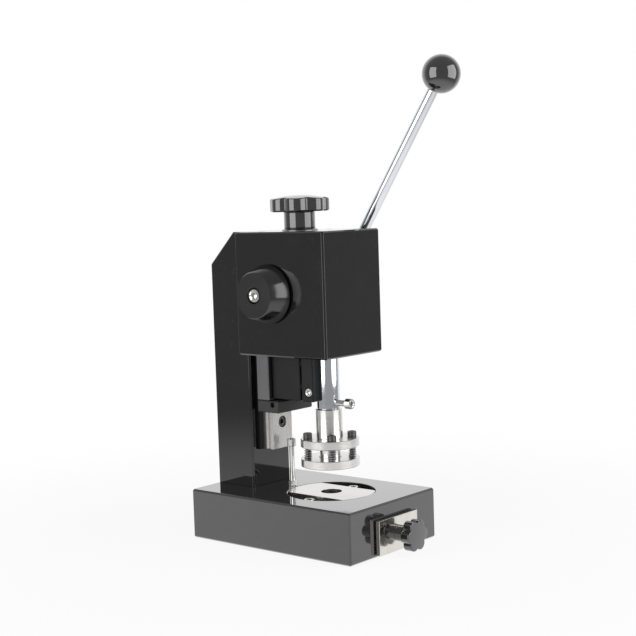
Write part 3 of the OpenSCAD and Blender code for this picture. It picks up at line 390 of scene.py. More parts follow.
def star_knob(radius, head, neck_radius, neck, count, rim_share, lobe_share):
    """Star knob on Z: a neck with a rolled foot, then a lobed head under a crowned face.

    The crown's height is a parabola over the distance from the axis, and the lobed wall
    cuts it off.
    """
    wall = lobes(radius, count, lobe_share, 0.028 * radius, count * 40)
    rim = neck + head * rim_share
    top = neck + head
    edge = 0.06 * radius
    turns = np.linspace(0, math.pi / 2, 6)

    def face(r):
        return rim + (top - rim) * (1 - (r / radius) ** 2)

    foot = 0.06 * neck_radius
    rows = [
        (0, 0), (neck_radius - foot, 0), (neck_radius - 0.3 * foot, 0.3 * foot), (neck_radius, foot),
        (neck_radius, 2 * foot), (neck_radius, neck - 2 * foot), (neck_radius, neck - foot),
        (neck_radius + 0.3 * foot, neck - 0.3 * foot), (neck_radius + foot, neck),
    ]
    rows += [(wall - edge * (1 - math.sin(t)), neck + edge * (1 - math.cos(t))) for t in turns]
    shoulder = face(wall - edge)
    rows += [(wall, neck + 1.4 * edge), (wall, shoulder - 1.4 * edge)]
    rows += [(wall - edge * (1 - math.cos(t)), shoulder - edge * (1 - math.sin(t))) for t in turns[:-1]]
    for share in 1 - np.linspace(0, 1, 14) ** 1.4:
        r = (wall - edge) * share
        rows.append((r, face(r)))
    return polar(rows, count * 40)


# Nodes: values that take Python's operators, and one method that adds any node


class Value:
    """A number on a socket. Operators on it add Math nodes."""

    def __init__(self, tree, socket):
        self.tree = tree
        self.socket = socket

    def math(self, operation, *others):
        sockets = dict(enumerate([self, *others]))
        return Value(self.tree, self.tree.node("Math", {"operation": operation}, sockets).outputs[0])

    def __add__(self, other):
        return self.math("ADD", other)

    def __sub__(self, other):
        return self.math("SUBTRACT", other)

    def __rsub__(self, other):
        node = self.tree.node("Math", {"operation": "SUBTRACT"}, {0: other, 1: self})
        return Value(self.tree, node.outputs[0])

    def __mul__(self, other):
        return self.math("MULTIPLY", other)

    __radd__ = __add__
    __rmul__ = __mul__

    def ramp(self, low, high):
        """0 below low, 1 above high and smooth between."""
        settings = {"interpolation_type": "SMOOTHSTEP"}
        sockets = {"Value": self, "From Min": low, "From Max": high}
        return Value(self.tree, self.tree.node("MapRange", settings, sockets).outputs[0])


class Nodes:
    """A node tree that starts empty."""

    def __init__(self, tree):
        self.tree = tree
        tree.nodes.clear()

    def node(self, kind, settings=None, sockets=None):
        """Adds a node: first its settings, then a value or a link for each named socket."""
        made = self.tree.nodes.new("ShaderNode" + kind)
        for key, setting in (settings or {}).items():
            setattr(made, key, setting)
        for key, given in (sockets or {}).items():
            given = given.socket if isinstance(given, Value) else given
            if isinstance(given, bpy.types.NodeSocket):
                self.tree.links.new(given, made.inputs[key])
            elif isinstance(given, (tuple, list)) and len(given) == 3 and made.inputs[key].type == "RGBA":
                made.inputs[key].default_value = (*given, 1)
            else:
                made.inputs[key].default_value = given
        return made

    def mix(self, factor, first, second):
        """Colour between two colours."""
        settings = {"data_type": "RGBA"}
        return self.node("Mix", settings, {"Factor": factor, 6: first, 7: second}).outputs[2]

    def parts(self, vector):
        """X, Y and Z of a vector."""
        split = self.node("SeparateXYZ", None, {"Vector": vector})
        return [Value(self, socket) for socket in split.outputs]


class Finish(Nodes):
    """A material closed by one Principled shader. Patterns read Object coordinates, in metres."""

    def __init__(self, name):
        self.material = bpy.data.materials.new(name)
        self.material.use_nodes = True
        super().__init__(self.material.node_tree)
        self.shader = self.node("BsdfPrincipled")
        self.node("OutputMaterial", None, {"Surface": self.shader.outputs[0]})
        self.place = self.node("TexCoord").outputs["Object"]

    def noise(self, scale, detail=2.0, rough=0.5, at=None):
        """Noise from 0 to 1. scale is its cells per metre, one number or one for each axis."""
        stretch = (scale,) * 3 if isinstance(scale, (int, float)) else scale
        settings = {"operation": "MULTIPLY"}
        spread = self.node("VectorMath", settings, {0: self.place if at is None else at, 1: stretch})
        sockets = {"Vector": spread.outputs[0], "Scale": 1.0, "Detail": detail, "Roughness": rough}
        return Value(self, self.node("TexNoise", None, sockets).outputs["Fac"])

    def round_place(self, axis, direction):
        """Place as (distance from an axis, along it, 0), so that noise on it runs round the axis."""
        x, y, z = self.parts(self.place)
        flat = {"x": (y, z, x), "z": (x, y, z)}[direction]
        u, v = flat[0] - axis[0], flat[1] - axis[1]
        distance = (u * u + v * v).math("SQRT")
        return self.node("CombineXYZ", None, {0: distance, 1: flat[2]}).outputs[0]

    def close(self, colour, roughness, relief=None, depth=0.0, **constants):
        """Sets the shader: links or numbers for colour and roughness, a bump of some depth, constants."""
        sockets = {"Base Color": colour, "Roughness": roughness}
        if relief is not None:
            bump = self.node("Bump", None, {"Height": relief, "Distance": depth, "Strength": 1.0})
            sockets["Normal"] = bump.outputs[0]
        for key, given in sockets.items():
            given = given.socket if isinstance(given, Value) else given
            if isinstance(given, bpy.types.NodeSocket):
                self.tree.links.new(given, self.shader.inputs[key])
            else:
                self.shader.inputs[key].default_value = (*given, 1) if key == "Base Color" else given
        for key, number in constants.items():
            self.shader.inputs[key.replace("_", " ")].default_value = number
        return self.material


def tint(colour, factor):
    """A colour made lighter or darker."""
    return tuple(min(1.0, channel * factor) for channel in colour)


# Finishes, one function each


def enamel(name, colour, gloss, coat=1.0):
    """Sprayed gloss black under a clear coat: faint orange peel, wiped smudges, specks of dust."""
    paint = Finish(name)
    smudge = paint.noise(28, 4, 0.6)
    mottle = paint.noise(260, 3, 0.6)
    dust = paint.noise(1500, 1).ramp(0.70, 0.76) * paint.noise(40, 2).ramp(0.5, 0.75)
    scuff = paint.noise((900, 900, 500), 2).ramp(0.7, 0.76) * paint.noise(33, 1).ramp(0.55, 0.65)
    marks = dust * 0.25 + scuff * 0.35
    shade = paint.mix(smudge * 0.5 + mottle * 0.5, tint(colour, 0.4), tint(colour, 1.6))
    peel = paint.noise(620, 1) + paint.noise(150, 1) * 1.5
    gloss_map = gloss + smudge.ramp(0.35, 0.75) * 0.05 + marks * 0.4
    return paint.close(paint.mix(marks, shade, (0.42, 0.42, 0.43)), gloss_map, peel, 0.0025 * MM,
                       IOR=1.5, Coat_Weight=coat, Coat_Roughness=0.03, Coat_IOR=1.6)


def satin(name, colour, gloss, bend=1.38):
    """Bead-blasted and blackened aluminium: a fine even grain and a soft sheen."""
    coat = Finish(name)
    grain = coat.noise(3200, 2)
    cloud = coat.noise(60, 3)
    shade = coat.mix(cloud, tint(colour, 0.8), tint(colour, 1.3))
    return coat.close(shade, gloss + cloud * 0.12, grain, 0.006 * MM, IOR=bend)


def oxide(name, colour):
    """Black oxide on steel: bluish black, a little metallic, worn paler in patches."""
    coat = Finish(name)
    cloud = coat.noise(180, 3)
    worn = coat.noise(700, 3).ramp(0.62, 0.8)
    shade = coat.mix(worn * 0.5, coat.mix(cloud, tint(colour, 0.7), tint(colour, 1.3)), (0.2, 0.2, 0.21))
    return coat.close(shade, 0.3 + cloud * 0.15, coat.noise(2500, 1), 0.004 * MM, Metallic=0.7)


def ground(name, colour, lines, gloss=0.2):
    """Ground steel: fine straight lines, each axis with its own cells per metre, and paler bands."""
    steel = Finish(name)
    scratch = steel.noise(lines, 3, 0.7)
    cloud = steel.noise(45, 3)
    shade = steel.mix(scratch * 0.6 + cloud * 0.4, tint(colour, 0.72), tint(colour, 1.18))
    return steel.close(shade, gloss + scratch * 0.16, scratch, 0.004 * MM, Metallic=1.0)


def turned(name, colour, axis, direction, gloss=0.13, metallic=1.0, bend=1.5):
    """Turned steel: tool marks that run round an axis, in flats and cylinders alike. Blackened, it
    mirrors as a clear skin that bends light does."""
    steel = Finish(name)
    at = steel.round_place(axis, direction)
    mark = steel.noise((5200, 5200, 0), 2, 0.6, at)
    band = steel.noise((420, 420, 0), 2, 0.5, at)
    cloud = steel.noise(50, 3)
    shade = steel.mix(band * 0.5 + cloud * 0.5, tint(colour, 0.8), tint(colour, 1.12))
    return steel.close(shade, gloss + mark * 0.14 + cloud * 0.05, mark, 0.004 * MM,
                       Metallic=metallic, IOR=bend)


def plated(name, colour, gloss, cloud_depth=0.25):
    """Bright plating: nearly a mirror, with wiped smudges and faint clouds."""
    steel = Finish(name)
    cloud = steel.noise(70, 4, 0.6)
    fine = steel.noise(1800, 1)
    shade = steel.mix(cloud, tint(colour, 1 - cloud_depth), tint(colour, 1.05))
    return steel.close(shade, gloss + cloud.ramp(0.4, 0.8) * 0.08, fine, 0.0002 * MM, Metallic=1.0)


def wire(name, colour):
    """Oiled spring wire: dark and drawn, with fine streaks."""
    steel = Finish(name)
    streak = steel.noise((2400, 2400, 700), 2)
    shade = steel.mix(streak, tint(colour, 0.6), tint(colour, 1.3))
    return steel.close(shade, 0.22 + streak * 0.2, streak, 0.003 * MM, Metallic=1.0)


def sheet_steel(name, colour):
    """Bright stainless sheet: rolled to a mirror, brushed lightly along its width, fingermarks."""
    steel = Finish(name)
    brush = steel.noise((35, 35, 2600), 3, 0.7)
    mark = steel.noise(75, 4, 0.65)
    shade = steel.mix(mark, tint(colour, 0.8), tint(colour, 1.15))
    gloss_map = 0.09 + brush * 0.08 + mark.ramp(0.5, 0.75) * 0.14
    return steel.close(shade, gloss_map, brush, 0.0016 * MM, Metallic=1.0)


def bearing_bronze(name, colour):
    """Sintered bronze: matt, finely pored and darkened by oil."""
    metal = Finish(name)
    pores = metal.noise(4200, 2)
    cloud = metal.noise(110, 3)
    shade = metal.mix(cloud, tint(colour, 0.65), tint(colour, 1.1))
    return metal.close(shade, 0.36 + pores * 0.2, 1 - pores, 0.01 * MM, Metallic=1.0)


def moulding(name, colour, gloss):
    """Moulded thermoset: a polished skin with faint flow marks and handling haze."""
    resin = Finish(name)
    haze = resin.noise(55, 4, 0.6)
    flow = resin.noise((90, 90, 260), 2)
    shade = resin.mix(haze, tint(colour, 0.8), tint(colour, 1.5))
    return resin.close(shade, gloss + haze.ramp(0.4, 0.8) * 0.06, flow, 0.003 * MM,
                       IOR=1.6, Coat_Weight=1.0, Coat_Roughness=0.04, Coat_IOR=1.65)


def cap_resin(name, colour):
    """Moulded dark end cap: matt, with the mould's spark-eroded grain."""
    resin = Finish(name)
    grain = resin.noise(2600, 3)
    cloud = resin.noise(90, 2)
    shade = resin.mix(cloud, tint(colour, 0.75), tint(colour, 1.3))
    return resin.close(shade, 0.42 + grain * 0.16, grain, 0.012 * MM, IOR=1.5)


RAM_AXIS = extent("punch")[2][:2]
SHAFT_AXIS = extent("pinion_shaft")[2][1:]

# Each finish: the function that makes it, the colour that it takes, and its details
FINISHES = {
    "black_enamel": (enamel, "enamel", 0.04, 0.3),
    "base_enamel": (enamel, "base_enamel", 0.05),
    "satin_black": (satin, "satin", 0.3),
    "blackened_steel": (oxide, "oxide"),
    "ground_steel": (ground, "ground", (2600, 2600, 45)),
    "carriage_steel": (ground, "carriage", (45, 2600, 2600), 0.24),
    "die_steel": (ground, "turned", (2200, 60, 2200), 0.12),
    "turned_steel": (turned, "turned", RAM_AXIS, "z"),
    "turned_hub": (turned, "hub", SHAFT_AXIS, "x", 0.04, 0.0, 1.75),
    "chrome_plate": (plated, "chrome", 0.04, 0.1),
    "zinc_steel": (plated, "zinc", 0.14),
    "spring_steel": (wire, "spring"),
    "stainless_sheet": (sheet_steel, "stainless"),
    "bronze": (bearing_bronze, "bronze"),
    "black_plastic": (moulding, "plastic", 0.05),
    "cap_plastic": (cap_resin, "cap"),
}


def finish(name):
    """The material of that finish, made the first time that it is asked for."""
    label = name + "_finish"
    made = bpy.data.materials.get(label)
    if made is None:
        maker, key, *details = FINISHES[name]
        made = maker(label, tuple(getattr(bpy.context.scene.press_colours, key)), *details)
    return made


def dress(name, mesh, slot, body, nodes=(), soften=0.0, look=None, crease=35):
    """Makes a piece of a mesh: its finish, shading and soft edges and its body, and hides the imported nodes
    that it stands for.
    """
    piece = bpy.data.objects.new(name, mesh)
    bpy.context.scene.collection.objects.link(piece)
    mesh.name = name
    mesh.materials.clear()
    mesh.materials.append(finish(look or slot))
    mesh.shade_smooth()
    if soften:
        bevel = piece.modifiers.new("soften", "BEVEL")
        bevel.width = soften
        bevel.segments = 2
        bevel.limit_method = "ANGLE"
        bevel.angle_limit = math.radians(28)
        bevel.harden_normals = True
    else:
        mesh.set_sharp_from_angle(angle=math.radians(crease))
    if body:
        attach(piece, body)
    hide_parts(*nodes)
    return piece


# Settings that a user may change


def length(name, about, default):
    """A length in metres."""
    return FloatProperty(name=name, description=about, default=default, min=0, unit="LENGTH", precision=5)


def colour(name, about, default):
    """A linear colour."""
    return FloatVectorProperty(
        name=name, description=about, default=default, size=3, min=0, max=1, subtype="COLOR")


class PressSizes(bpy.types.PropertyGroup):
    """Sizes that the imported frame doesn't give."""

    bevel: length("Edge bevel", "Bevel along the edges of the machined black blocks", 1.5 * MM)
    soften: length("Edge rounding", "Rounding where a bevel meets a face", 0.35 * MM)
    small_bevel: length("Small bevel", "Bevel along the edges of the ram's blocks", 0.8 * MM)
    screw_play: length("Screw play", "Gap round a screw's head in its counterbore", 0.3 * MM)
    hole_lip: length("Hole lip", "Broken edge at the mouth of a hole", 0.4 * MM)
    slip: length("Running gap", "Gap between faces that move past each other", 0.3 * MM)
    recess_gap: length("Recess gap", "Gap round the die plate in the base", 0.5 * MM)
    chute: length("Chute", "Radius of the chute below the die", 12 * MM)
    chute_cut: length("Chute cut", "How far the chute's cutter reaches below the recess", 10 * MM)
    pocket_spare: length("Pocket spare", "Room behind the closed drawer", 4 * MM)
    shoulder: length("Shoulder", "Chamfer at the back of the column's top", 31.2 * MM)
    cavity_gap: length("Cavity gap", "Gap between the carriage and the head's cheeks", 1.3 * MM)
    front_wall: length("Front wall", "Thickness of the head's front wall", 10 * MM)
    ledge: length("Ledge", "Width of the ledge under the head's cover", 7.9 * MM)
    lintel_gap: length("Lintel gap", "Gap over the rail under the head's back wall", 3 * MM)
    bush_flange: length("Bush flange", "How far a bush's flange stands out from it", 3 * MM)
    groove: length("Rail groove", "Depth of the grooves along the rail", 1.6 * MM)
    port: length("Grease port", "Diameter of a grease port", 5 * MM)
    port_depth: length("Port depth", "Depth of a grease port", 4 * MM)
    port_set: length("Port set", "From a grease port back to the carriage's front face", 4 * MM)
    port_height: length("Port height", "From the lower cap's foot to a grease port", 7.7 * MM)
    slit: length("Clamp slit", "Open slit between the slide block and the ram clamp", 1.7 * MM)
    clamp_set: length("Clamp set", "From the ram's axis back to the clamp's lower front face", 2.6 * MM)
    relief: length("Slide relief", "How far slide block and clamp stand back below their tops", 5 * MM)
    pad_side: length("Pad side", "How far the pad in the slit stands in from the clamp's sides", 4.5 * MM)
    pad_foot: length("Pad foot", "How far the pad in the slit stands up from the clamp's feet", 4 * MM)
    clamp_head: length("Clamp head", "Height of the clamp's full-depth top", 16 * MM)
    tongue: length("Tongue", "Thickness of the rack's tongue, and half its width", 12 * MM)
    hub_end: length("Hub end", "Small diameter of the tapered hub", 44 * MM)
    hub_recess: length("Hub recess", "Depth of the recess round a hub's screw", 8.5 * MM)
    hub_hole: length("Hub hole", "Diameter of the screw's hole in a hub", 8.2 * MM)
    hub_web: length("Hub web", "Thickness of the web under a hub's screw", 3 * MM)
    hub_play: length("Hub recess play", "Gap round a hub screw's head", 1.25 * MM)
    lever: length("Lever", "Diameter of the lever", 10.5 * MM)
    lever_gap: length("Lever gap", "From the shaft's surface to the lever's end", 2 * MM)
    ball_flat: length("Ball flat", "Depth of the flat that the ball is turned to at the lever", 1.2 * MM)
    ball_bore: length("Ball bore", "How far the lever's mouth is let into the ball", 2 * MM)
    ball_play: length("Ball play", "Gap round the lever at the ball's mouth", 0.3 * MM)
    ball_lip: length("Ball lip", "Broken edge of the ball's flat", 0.25 * MM)
    knob: length("Knob", "Diameter over the brake knob's lobes", 58 * MM)
    knob_head: length("Knob head", "Height of the brake knob's head", 16.1 * MM)
    knob_neck: length("Knob neck", "Diameter of the brake knob's neck", 30 * MM)
    pull: length("Pull", "Diameter over the drawer knob's lobes", 30 * MM)
    pull_head: length("Pull head", "Depth of the drawer knob's head", 9.8 * MM)
    pull_neck: length("Pull neck", "Diameter of the drawer knob's neck", 15 * MM)
    shank: length("Shank", "Diameter of the punch holder's shank", 25.4 * MM)
    upper_ring: length("Upper ring", "Thickness of the punch holder's ring", 7.9 * MM)
    spigot: length("Spigot", "Diameter of the holder's spigot and of the punch's shank", 12 * MM)
    punch_land: length("Punch land", "Length of the punch's full width above its edge", 8 * MM)
    washer_edge: length("Washer edge", "Height of the coned washer's edge", 0.3 * MM)
    washer_cone: length("Washer cone", "How far the washer's cone draws in", 1.8 * MM)
    washer_play: length("Washer play", "Gap between the washer and the brake screw", 0.4 * MM)
    punch_relief: length("Punch relief", "How far the punch is relieved above its edge", 0.15 * MM)
    post_hole: length("Post hole", "Diameter of the posts' holes in the upper ring", 5.2 * MM)
    post_tap: length("Post tap", "Diameter of the posts' holes in the stripper ring", 4.4 * MM)
    post_depth: length("Post depth", "Depth of the posts' holes in the stripper ring", 6 * MM)
    stripper_play: length("Stripper play", "Gap between the punch and the stripper ring", 0.5 * MM)
    die_play: length("Die play", "Gap between the punch and the die", 0.05 * MM)
    die_bar: length("Die bar", "Width of the die plate's raised bar", 49 * MM)
    die_flange: length("Die flange", "Thickness of the die plate's flanges", 4.5 * MM)
    stop: length("Stop screw", "Diameter of the stop screw", 5 * MM)
    stop_tap: length("Stop tap", "Diameter of the stop screw's hole in the base", 5.9 * MM)
    stop_head: length("Stop head", "Height of the stop screw's head", 7.4 * MM)
    stop_socket: length("Stop socket", "Depth of the stop screw's socket", 2 * MM)
    tray_wall: length("Tray wall", "Thickness of the drawer tray's walls", 2 * MM)
    wire: length("Return wire", "Wire of the return spring", 1.4 * MM)
    return_turns: IntProperty(name="Return turns", description="Turns of the return spring", default=18)
    stripper_wire: length("Stripper wire", "Wire of the stripper springs", 0.9 * MM)
    stripper_spring: length("Stripper spring", "Outer diameter of the stripper springs", 7.6 * MM)
    stripper_turns: IntProperty(
        name="Stripper turns", description="Turns of each stripper spring", default=4)
    rim_share: FloatProperty(
        name="Knob rim", description="Share of the brake knob's head below its crown", default=0.76)
    knob_turn: FloatProperty(
        name="Knob turn", description="Turn of the brake knob's lobes", default=math.radians(8),
        subtype="ANGLE")
    pull_rim_share: FloatProperty(
        name="Pull rim", description="Share of the drawer knob's head below its crown", default=0.94)
    lobe_share: FloatProperty(
        name="Knob lobe share", description="Radius of a lobe as a share of its knob's", default=0.38)
    knob_lobes: IntProperty(name="Knob lobes", description="Lobes of the brake knob", default=7, min=3)
    pull_lobes: IntProperty(name="Pull lobes", description="Lobes of the drawer knob", default=6, min=3)


class PressColours(bpy.types.PropertyGroup):
    """Base colours of the finishes."""

    enamel: colour("Enamel", "Gloss black of the column and the head", (0.006, 0.006, 0.0065))
    base_enamel: colour("Base enamel", "Gloss black of the base block", (0.02, 0.02, 0.021))
    satin: colour("Satin black", "Black of the slide block and the clamp", (0.006, 0.006, 0.0065))
    oxide: colour("Black oxide", "Blackened screws and carriage", (0.09, 0.09, 0.095))
    ground: colour("Ground steel", "Guide rail", (0.62, 0.61, 0.6))
    carriage: colour("Carriage steel", "Ground and blackened carriage", (0.2, 0.2, 0.205))
    turned: colour("Turned steel", "Punch holder, rings and die", (0.76, 0.75, 0.73))
    hub: colour("Hub", "Turned and blackened hubs", (0.007, 0.007, 0.0075))
    chrome: colour("Chrome", "Lever and ram rod", (0.77, 0.79, 0.83))
    zinc: colour("Zinc", "Bright plated screws", (0.74, 0.74, 0.73))
    spring: colour("Spring wire", "Springs", (0.38, 0.38, 0.39))
    stainless: colour("Stainless", "Drawer's front plate and tray", (0.72, 0.7, 0.65))
    bronze: colour("Bronze", "Bushes and brake shoe", (0.62, 0.42, 0.2))
    plastic: colour("Black resin", "Ball and star knobs", (0.012, 0.012, 0.0135))
    cap: colour("Cap resin", "Carriage end caps", (0.02, 0.02, 0.021))


class PressStage(bpy.types.PropertyGroup):
    """Camera and lights."""

    azimuth: FloatProperty(
        name="Azimuth", description="Camera's turn about Z from straight in front",
        default=math.radians(-49.64), subtype="ANGLE")
    elevation: FloatProperty(
        name="Elevation", description="Camera's height above the horizon",
        default=math.radians(4.98), subtype="ANGLE")
    roll: FloatProperty(
        name="Roll", description="Camera's turn about its own axis",
        default=math.radians(-1.86), subtype="ANGLE")
    lens: FloatProperty(
        name="Lens", description="Focal length in millimetres on a 36 mm sensor", default=76.25, min=1)
    distance: length("Distance", "From the camera to the point it looks at", 1.29)
    target: FloatVectorProperty(
        name="Target", description="Point that the camera looks at",
        default=(0.0070, -0.0091, 0.2132), size=3, subtype="TRANSLATION")
    floor: length("Floor", "Radius of the floor", 1.1)
    floor_drop: length("Floor drop", "Gap between the press's foot and the floor", 0.2 * MM)
    floor_sheet: length("Floor sheet", "Thickness of the floor", 0.8 * MM)
    floor_glow: FloatProperty(
        name="Floor glow", description="Share of white that the camera sees in the floor", default=0.9)
    left_power: FloatProperty(
        name="Left power", description="Power of the left softbox in watts", default=9.0, subtype="POWER")
    left_turn: FloatProperty(
        name="Left turn", description="Left softbox's turn from the camera's azimuth",
        default=math.radians(-52.5), subtype="ANGLE")
    left_width: length("Left width", "Width of the left softbox", 0.92)
    right_power: FloatProperty(
        name="Right power", description="Power of the right softbox in watts", default=9.5, subtype="POWER")
    right_turn: FloatProperty(
        name="Right turn", description="Right softbox's turn from the camera's azimuth",
        default=math.radians(64), subtype="ANGLE")
    right_width: length("Right width", "Width of the right softbox", 1.03)
    box_height: length("Softbox height", "Height of the softboxes, which stand on the bench", 1.2)
    box_distance: length("Softbox distance", "From the press to the softboxes", 1.1)
    ambient: FloatProperty(
        name="Ambient", description="Strength of the even light from all round", default=0.3, min=0)
    studio: FloatProperty(
        name="Studio", description="Brightness of the studio's dark sides in reflections", default=0.35)


def sizes():
    """The sizes that the user sets."""
    return bpy.context.scene.press_sizes


# Screw groups, by node
SCREWS = {
    group.node: group for group in [
        Screws("column_bolts", 10, [DOWN], (2, 2, 1), "frame"),
        Screws("head_bolts", 8, [BACK], (2, 1, 2), "frame"),
        Screws("top_plate_screws", 4, [UP], (2, 3, 1), "frame"),
        Screws("rail_screws", 6, [FRONT], (1, 1, 2), "frame", "zinc_steel", look="blackened_steel"),
        Screws("end_cap_screws", 3, [DOWN, UP], (2, 1, 1), "ram", reach=14.5 * MM),
        Screws("slide_block_screws", 6, [FRONT], (2, 1, 2), "ram"),
        Screws("ram_clamp_screws", 6, [FRONT], (2, 1, 1), "ram"),
        Screws("rod_grip_screws", 5, [LEFT, RIGHT], (1, 1, 1), "ram", reach=5 * MM, look="zinc_steel"),
        Screws("rack_screws", 5, [FRONT], (1, 1, 2), "ram"),
        Screws("left_hub_screw", 8, [LEFT], (1, 1, 1), "lever", "zinc_steel"),
        Screws("lever_hub_screw", 8, [RIGHT], (1, 1, 1), "lever", "zinc_steel"),
        Screws("punch_clamp_screw", 6, [FRONT], (1, 1, 1), "ram", "zinc_steel", pitch=1 * MM),
        Screws("stripper_screws", 5, [UP], (2, 2, 1), "stripper"),
        Screws("die_screws", 6, [UP], (2, 1, 1), "frame", "zinc_steel"),
    ]
}


def ring_rows(bore_r, radius, height, bevel):
    """Rows of a ring whose four edges are bevelled."""
    return [
        (bore_r, bevel), (bore_r + bevel, 0), (radius - bevel, 0), (radius, bevel),
        (radius, height - bevel), (radius - bevel, height), (bore_r + bevel, height),
        (bore_r, height - bevel),
    ]


def bar_rows(radius, height, bevel):
    """Rows of a solid bar whose two edges are bevelled."""
    return [
        (0, 0), (radius - bevel, 0), (radius, bevel), (radius, height - bevel),
        (radius - bevel, height), (0, height),
    ]


def side_prism(outline, low_x, high_x, bevel):
    """Solid of an outline in (Y, Z), carried along X between two bevelled ends."""
    profile = [(bevel, low_x), (0, low_x + bevel), (0, high_x - bevel), (bevel, high_x)]
    return aim(prism(outline, profile), (0, 0, 0), RIGHT, BACK)


def rail_outline(gap=0.0):
    """The rail's section in (X, Y): a bar whose sides are grooved, grown by a gap."""
    low, high, _, size = extent("guide_rail")
    groove = sizes().groove
    half = size[0] / 2 + gap
    waist = half - groove
    back = high[1] + gap
    front = low[1] - gap
    near = high[1] - size[1] * 0.32 - gap
    far = high[1] - size[1] * 0.68 + gap
    edge = sizes().hole_lip
    left = [
        (-half, back), (-half, near), (-waist, near - groove), (-waist, far + groove), (-half, far),
        (-half, front + edge), (-half + edge, front),
    ]
    return np.array(left + [(-x, y) for x, y in reversed(left)])


def lever_line():
    """Where the lever starts, the way it points and how far the ball's centre lies along it."""
    _, high, middle, size = extent("lever_ball")
    low = extent("lever_ball")[0]
    radius = size[0] / 2
    ball = np.array([middle[0], low[1] + radius, high[2] - radius])
    start = np.array([middle[0], *SHAFT_AXIS])
    reach = np.linalg.norm(ball - start)
    return start, (ball - start) / reach, reach


class PRESS_OT_base(bpy.types.Operator):
    """Base block with the die's recess, the discs' chute and the drawer's pocket"""

    bl_idname = "press.base"
    bl_label = "Base block"

    def execute(self, context):
        size = sizes()
        low, high, _, _ = extent("base_block")
        die_low, _, die, die_size = extent("die_plate")
        tray_low, tray_high, _, _ = extent("drawer_tray")
        stop = extent("stop_screw")
        recess = die_size[0] / 2 + size.recess_gap
        floor = np.array([*die[:2], die_low[2]])
        mouth = np.array([*die[:2], high[2]])
        gap = size.slip
        pocket_low = tray_low - gap
        pocket_high = tray_high + gap
        pocket_low[1] = low[1] - OVER
        pocket_high[1] = tray_high[1] + size.pocket_spare
        stop_foot = np.array([*stop[2][:2], stop[0][2]])
        stop_mouth = np.array([*stop[2][:2], high[2]])
        cutters = [
            bore(floor, mouth, recess, size.hole_lip, 192),
            bore(floor - (0, 0, size.chute_cut), floor + (0, 0, OVER), size.chute, 0, 96),
            block(pocket_low, pocket_high),
            bore(stop_foot, stop_mouth, size.stop_tap / 2, size.hole_lip, 48),
        ]
        cutters += SCREWS["column_bolts"].counterbores(low[2], size.hole_lip)
        mesh = carved(bevelled_block(low, high, size.bevel), cutters)
        dress("base", mesh, "black_enamel", "frame", ["base_block"], size.soften, "base_enamel")
        return {"FINISHED"}


class PRESS_OT_column(bpy.types.Operator):
    """Column with its chamfered shoulder and the head bolts' counterbores"""

    bl_idname = "press.column"
    bl_label = "Column"

    def execute(self, context):
        size = sizes()
        low, high, _, _ = extent("column")
        cut = size.shoulder
        edge = size.bevel
        outline = [
            (low[1], low[2] - edge), (high[1], low[2] - edge), (high[1], high[2] - cut),
            (high[1] - cut, high[2]), (low[1], high[2]),
        ]
        below = block(low - OVER - edge, (high[0] + OVER, high[1] + OVER, low[2]))
        cutters = [below] + SCREWS["head_bolts"].counterbores(high[1], size.hole_lip)
        mesh = carved(side_prism(outline, low[0], high[0], edge), cutters)
        dress("upright", mesh, "black_enamel", "frame", ["column"], size.soften)
        return {"FINISHED"}


class PRESS_OT_head(bpy.types.Operator):
    """Head: a milled box, open below and behind, with a rebate for its cover"""

    bl_idname = "press.head"
    bl_label = "Head"

    def execute(self, context):
        size = sizes()
        low, high, _, _ = extent("head_housing")
        cover_low, cover_high, _, _ = extent("head_top_plate")
        half = extent("carriage_body")[3][0] / 2 + size.cavity_gap
        front = low[1] + size.front_wall
        wall = cover_high[1] - size.ledge
        lintel = extent("guide_rail")[1][2] + size.lintel_gap
        bush = extent("left_bush")[3][1] / 2 - size.bush_flange
        gap = size.slip / 3
        cutters = [
            block((-half, front, low[2] - OVER), (half, high[1] + OVER, lintel)),
            block((-half, front, lintel - OVER), (half, wall, high[2] + OVER)),
            block((cover_low[0] - gap, cover_low[1] - gap, cover_low[2]),
                  (cover_high[0] + gap, cover_high[1] + gap, high[2] + OVER)),
            rod((low[0] - OVER, *SHAFT_AXIS), (high[0] + OVER, *SHAFT_AXIS), bush),
        ]
        mesh = carved(bevelled_block(low, high, size.bevel), cutters)
        dress("head", mesh, "black_enamel", "frame", ["head_housing"], size.soften)
        cover = prism(
            rectangle(cover_low, cover_high),
            [(0, cover_low[2]), (0, cover_high[2] - size.hole_lip), (size.hole_lip, cover_high[2])])
        stem = extent("brake_stem")
        hole = rod((*stem[2][:2], cover_low[2] - OVER), (*stem[2][:2], high[2] + OVER), stem[3][0] / 2 + gap)
        heads = SCREWS["top_plate_screws"].counterbores(high[2], size.hole_lip)
        dress("head_cover", carved(cover, [hole] + heads), "black_enamel", "frame", ["head_top_plate"])
        return {"FINISHED"}


class PRESS_OT_rail(bpy.types.Operator):
    """Guide rail with its grooved sides and counterbored screw holes"""

    bl_idname = "press.rail"
    bl_label = "Guide rail"

    def execute(self, context):
        size = sizes()
        low, high, _, _ = extent("guide_rail")
        edge = size.hole_lip
        profile = [(edge, low[2]), (0, low[2] + edge), (0, high[2] - edge), (edge, high[2])]
        heads = SCREWS["rail_screws"].counterbores(low[1], size.hole_lip)
        dress("rail", carved(prism(rail_outline(), profile), heads), "ground_steel", "frame", ["guide_rail"])
        return {"FINISHED"}


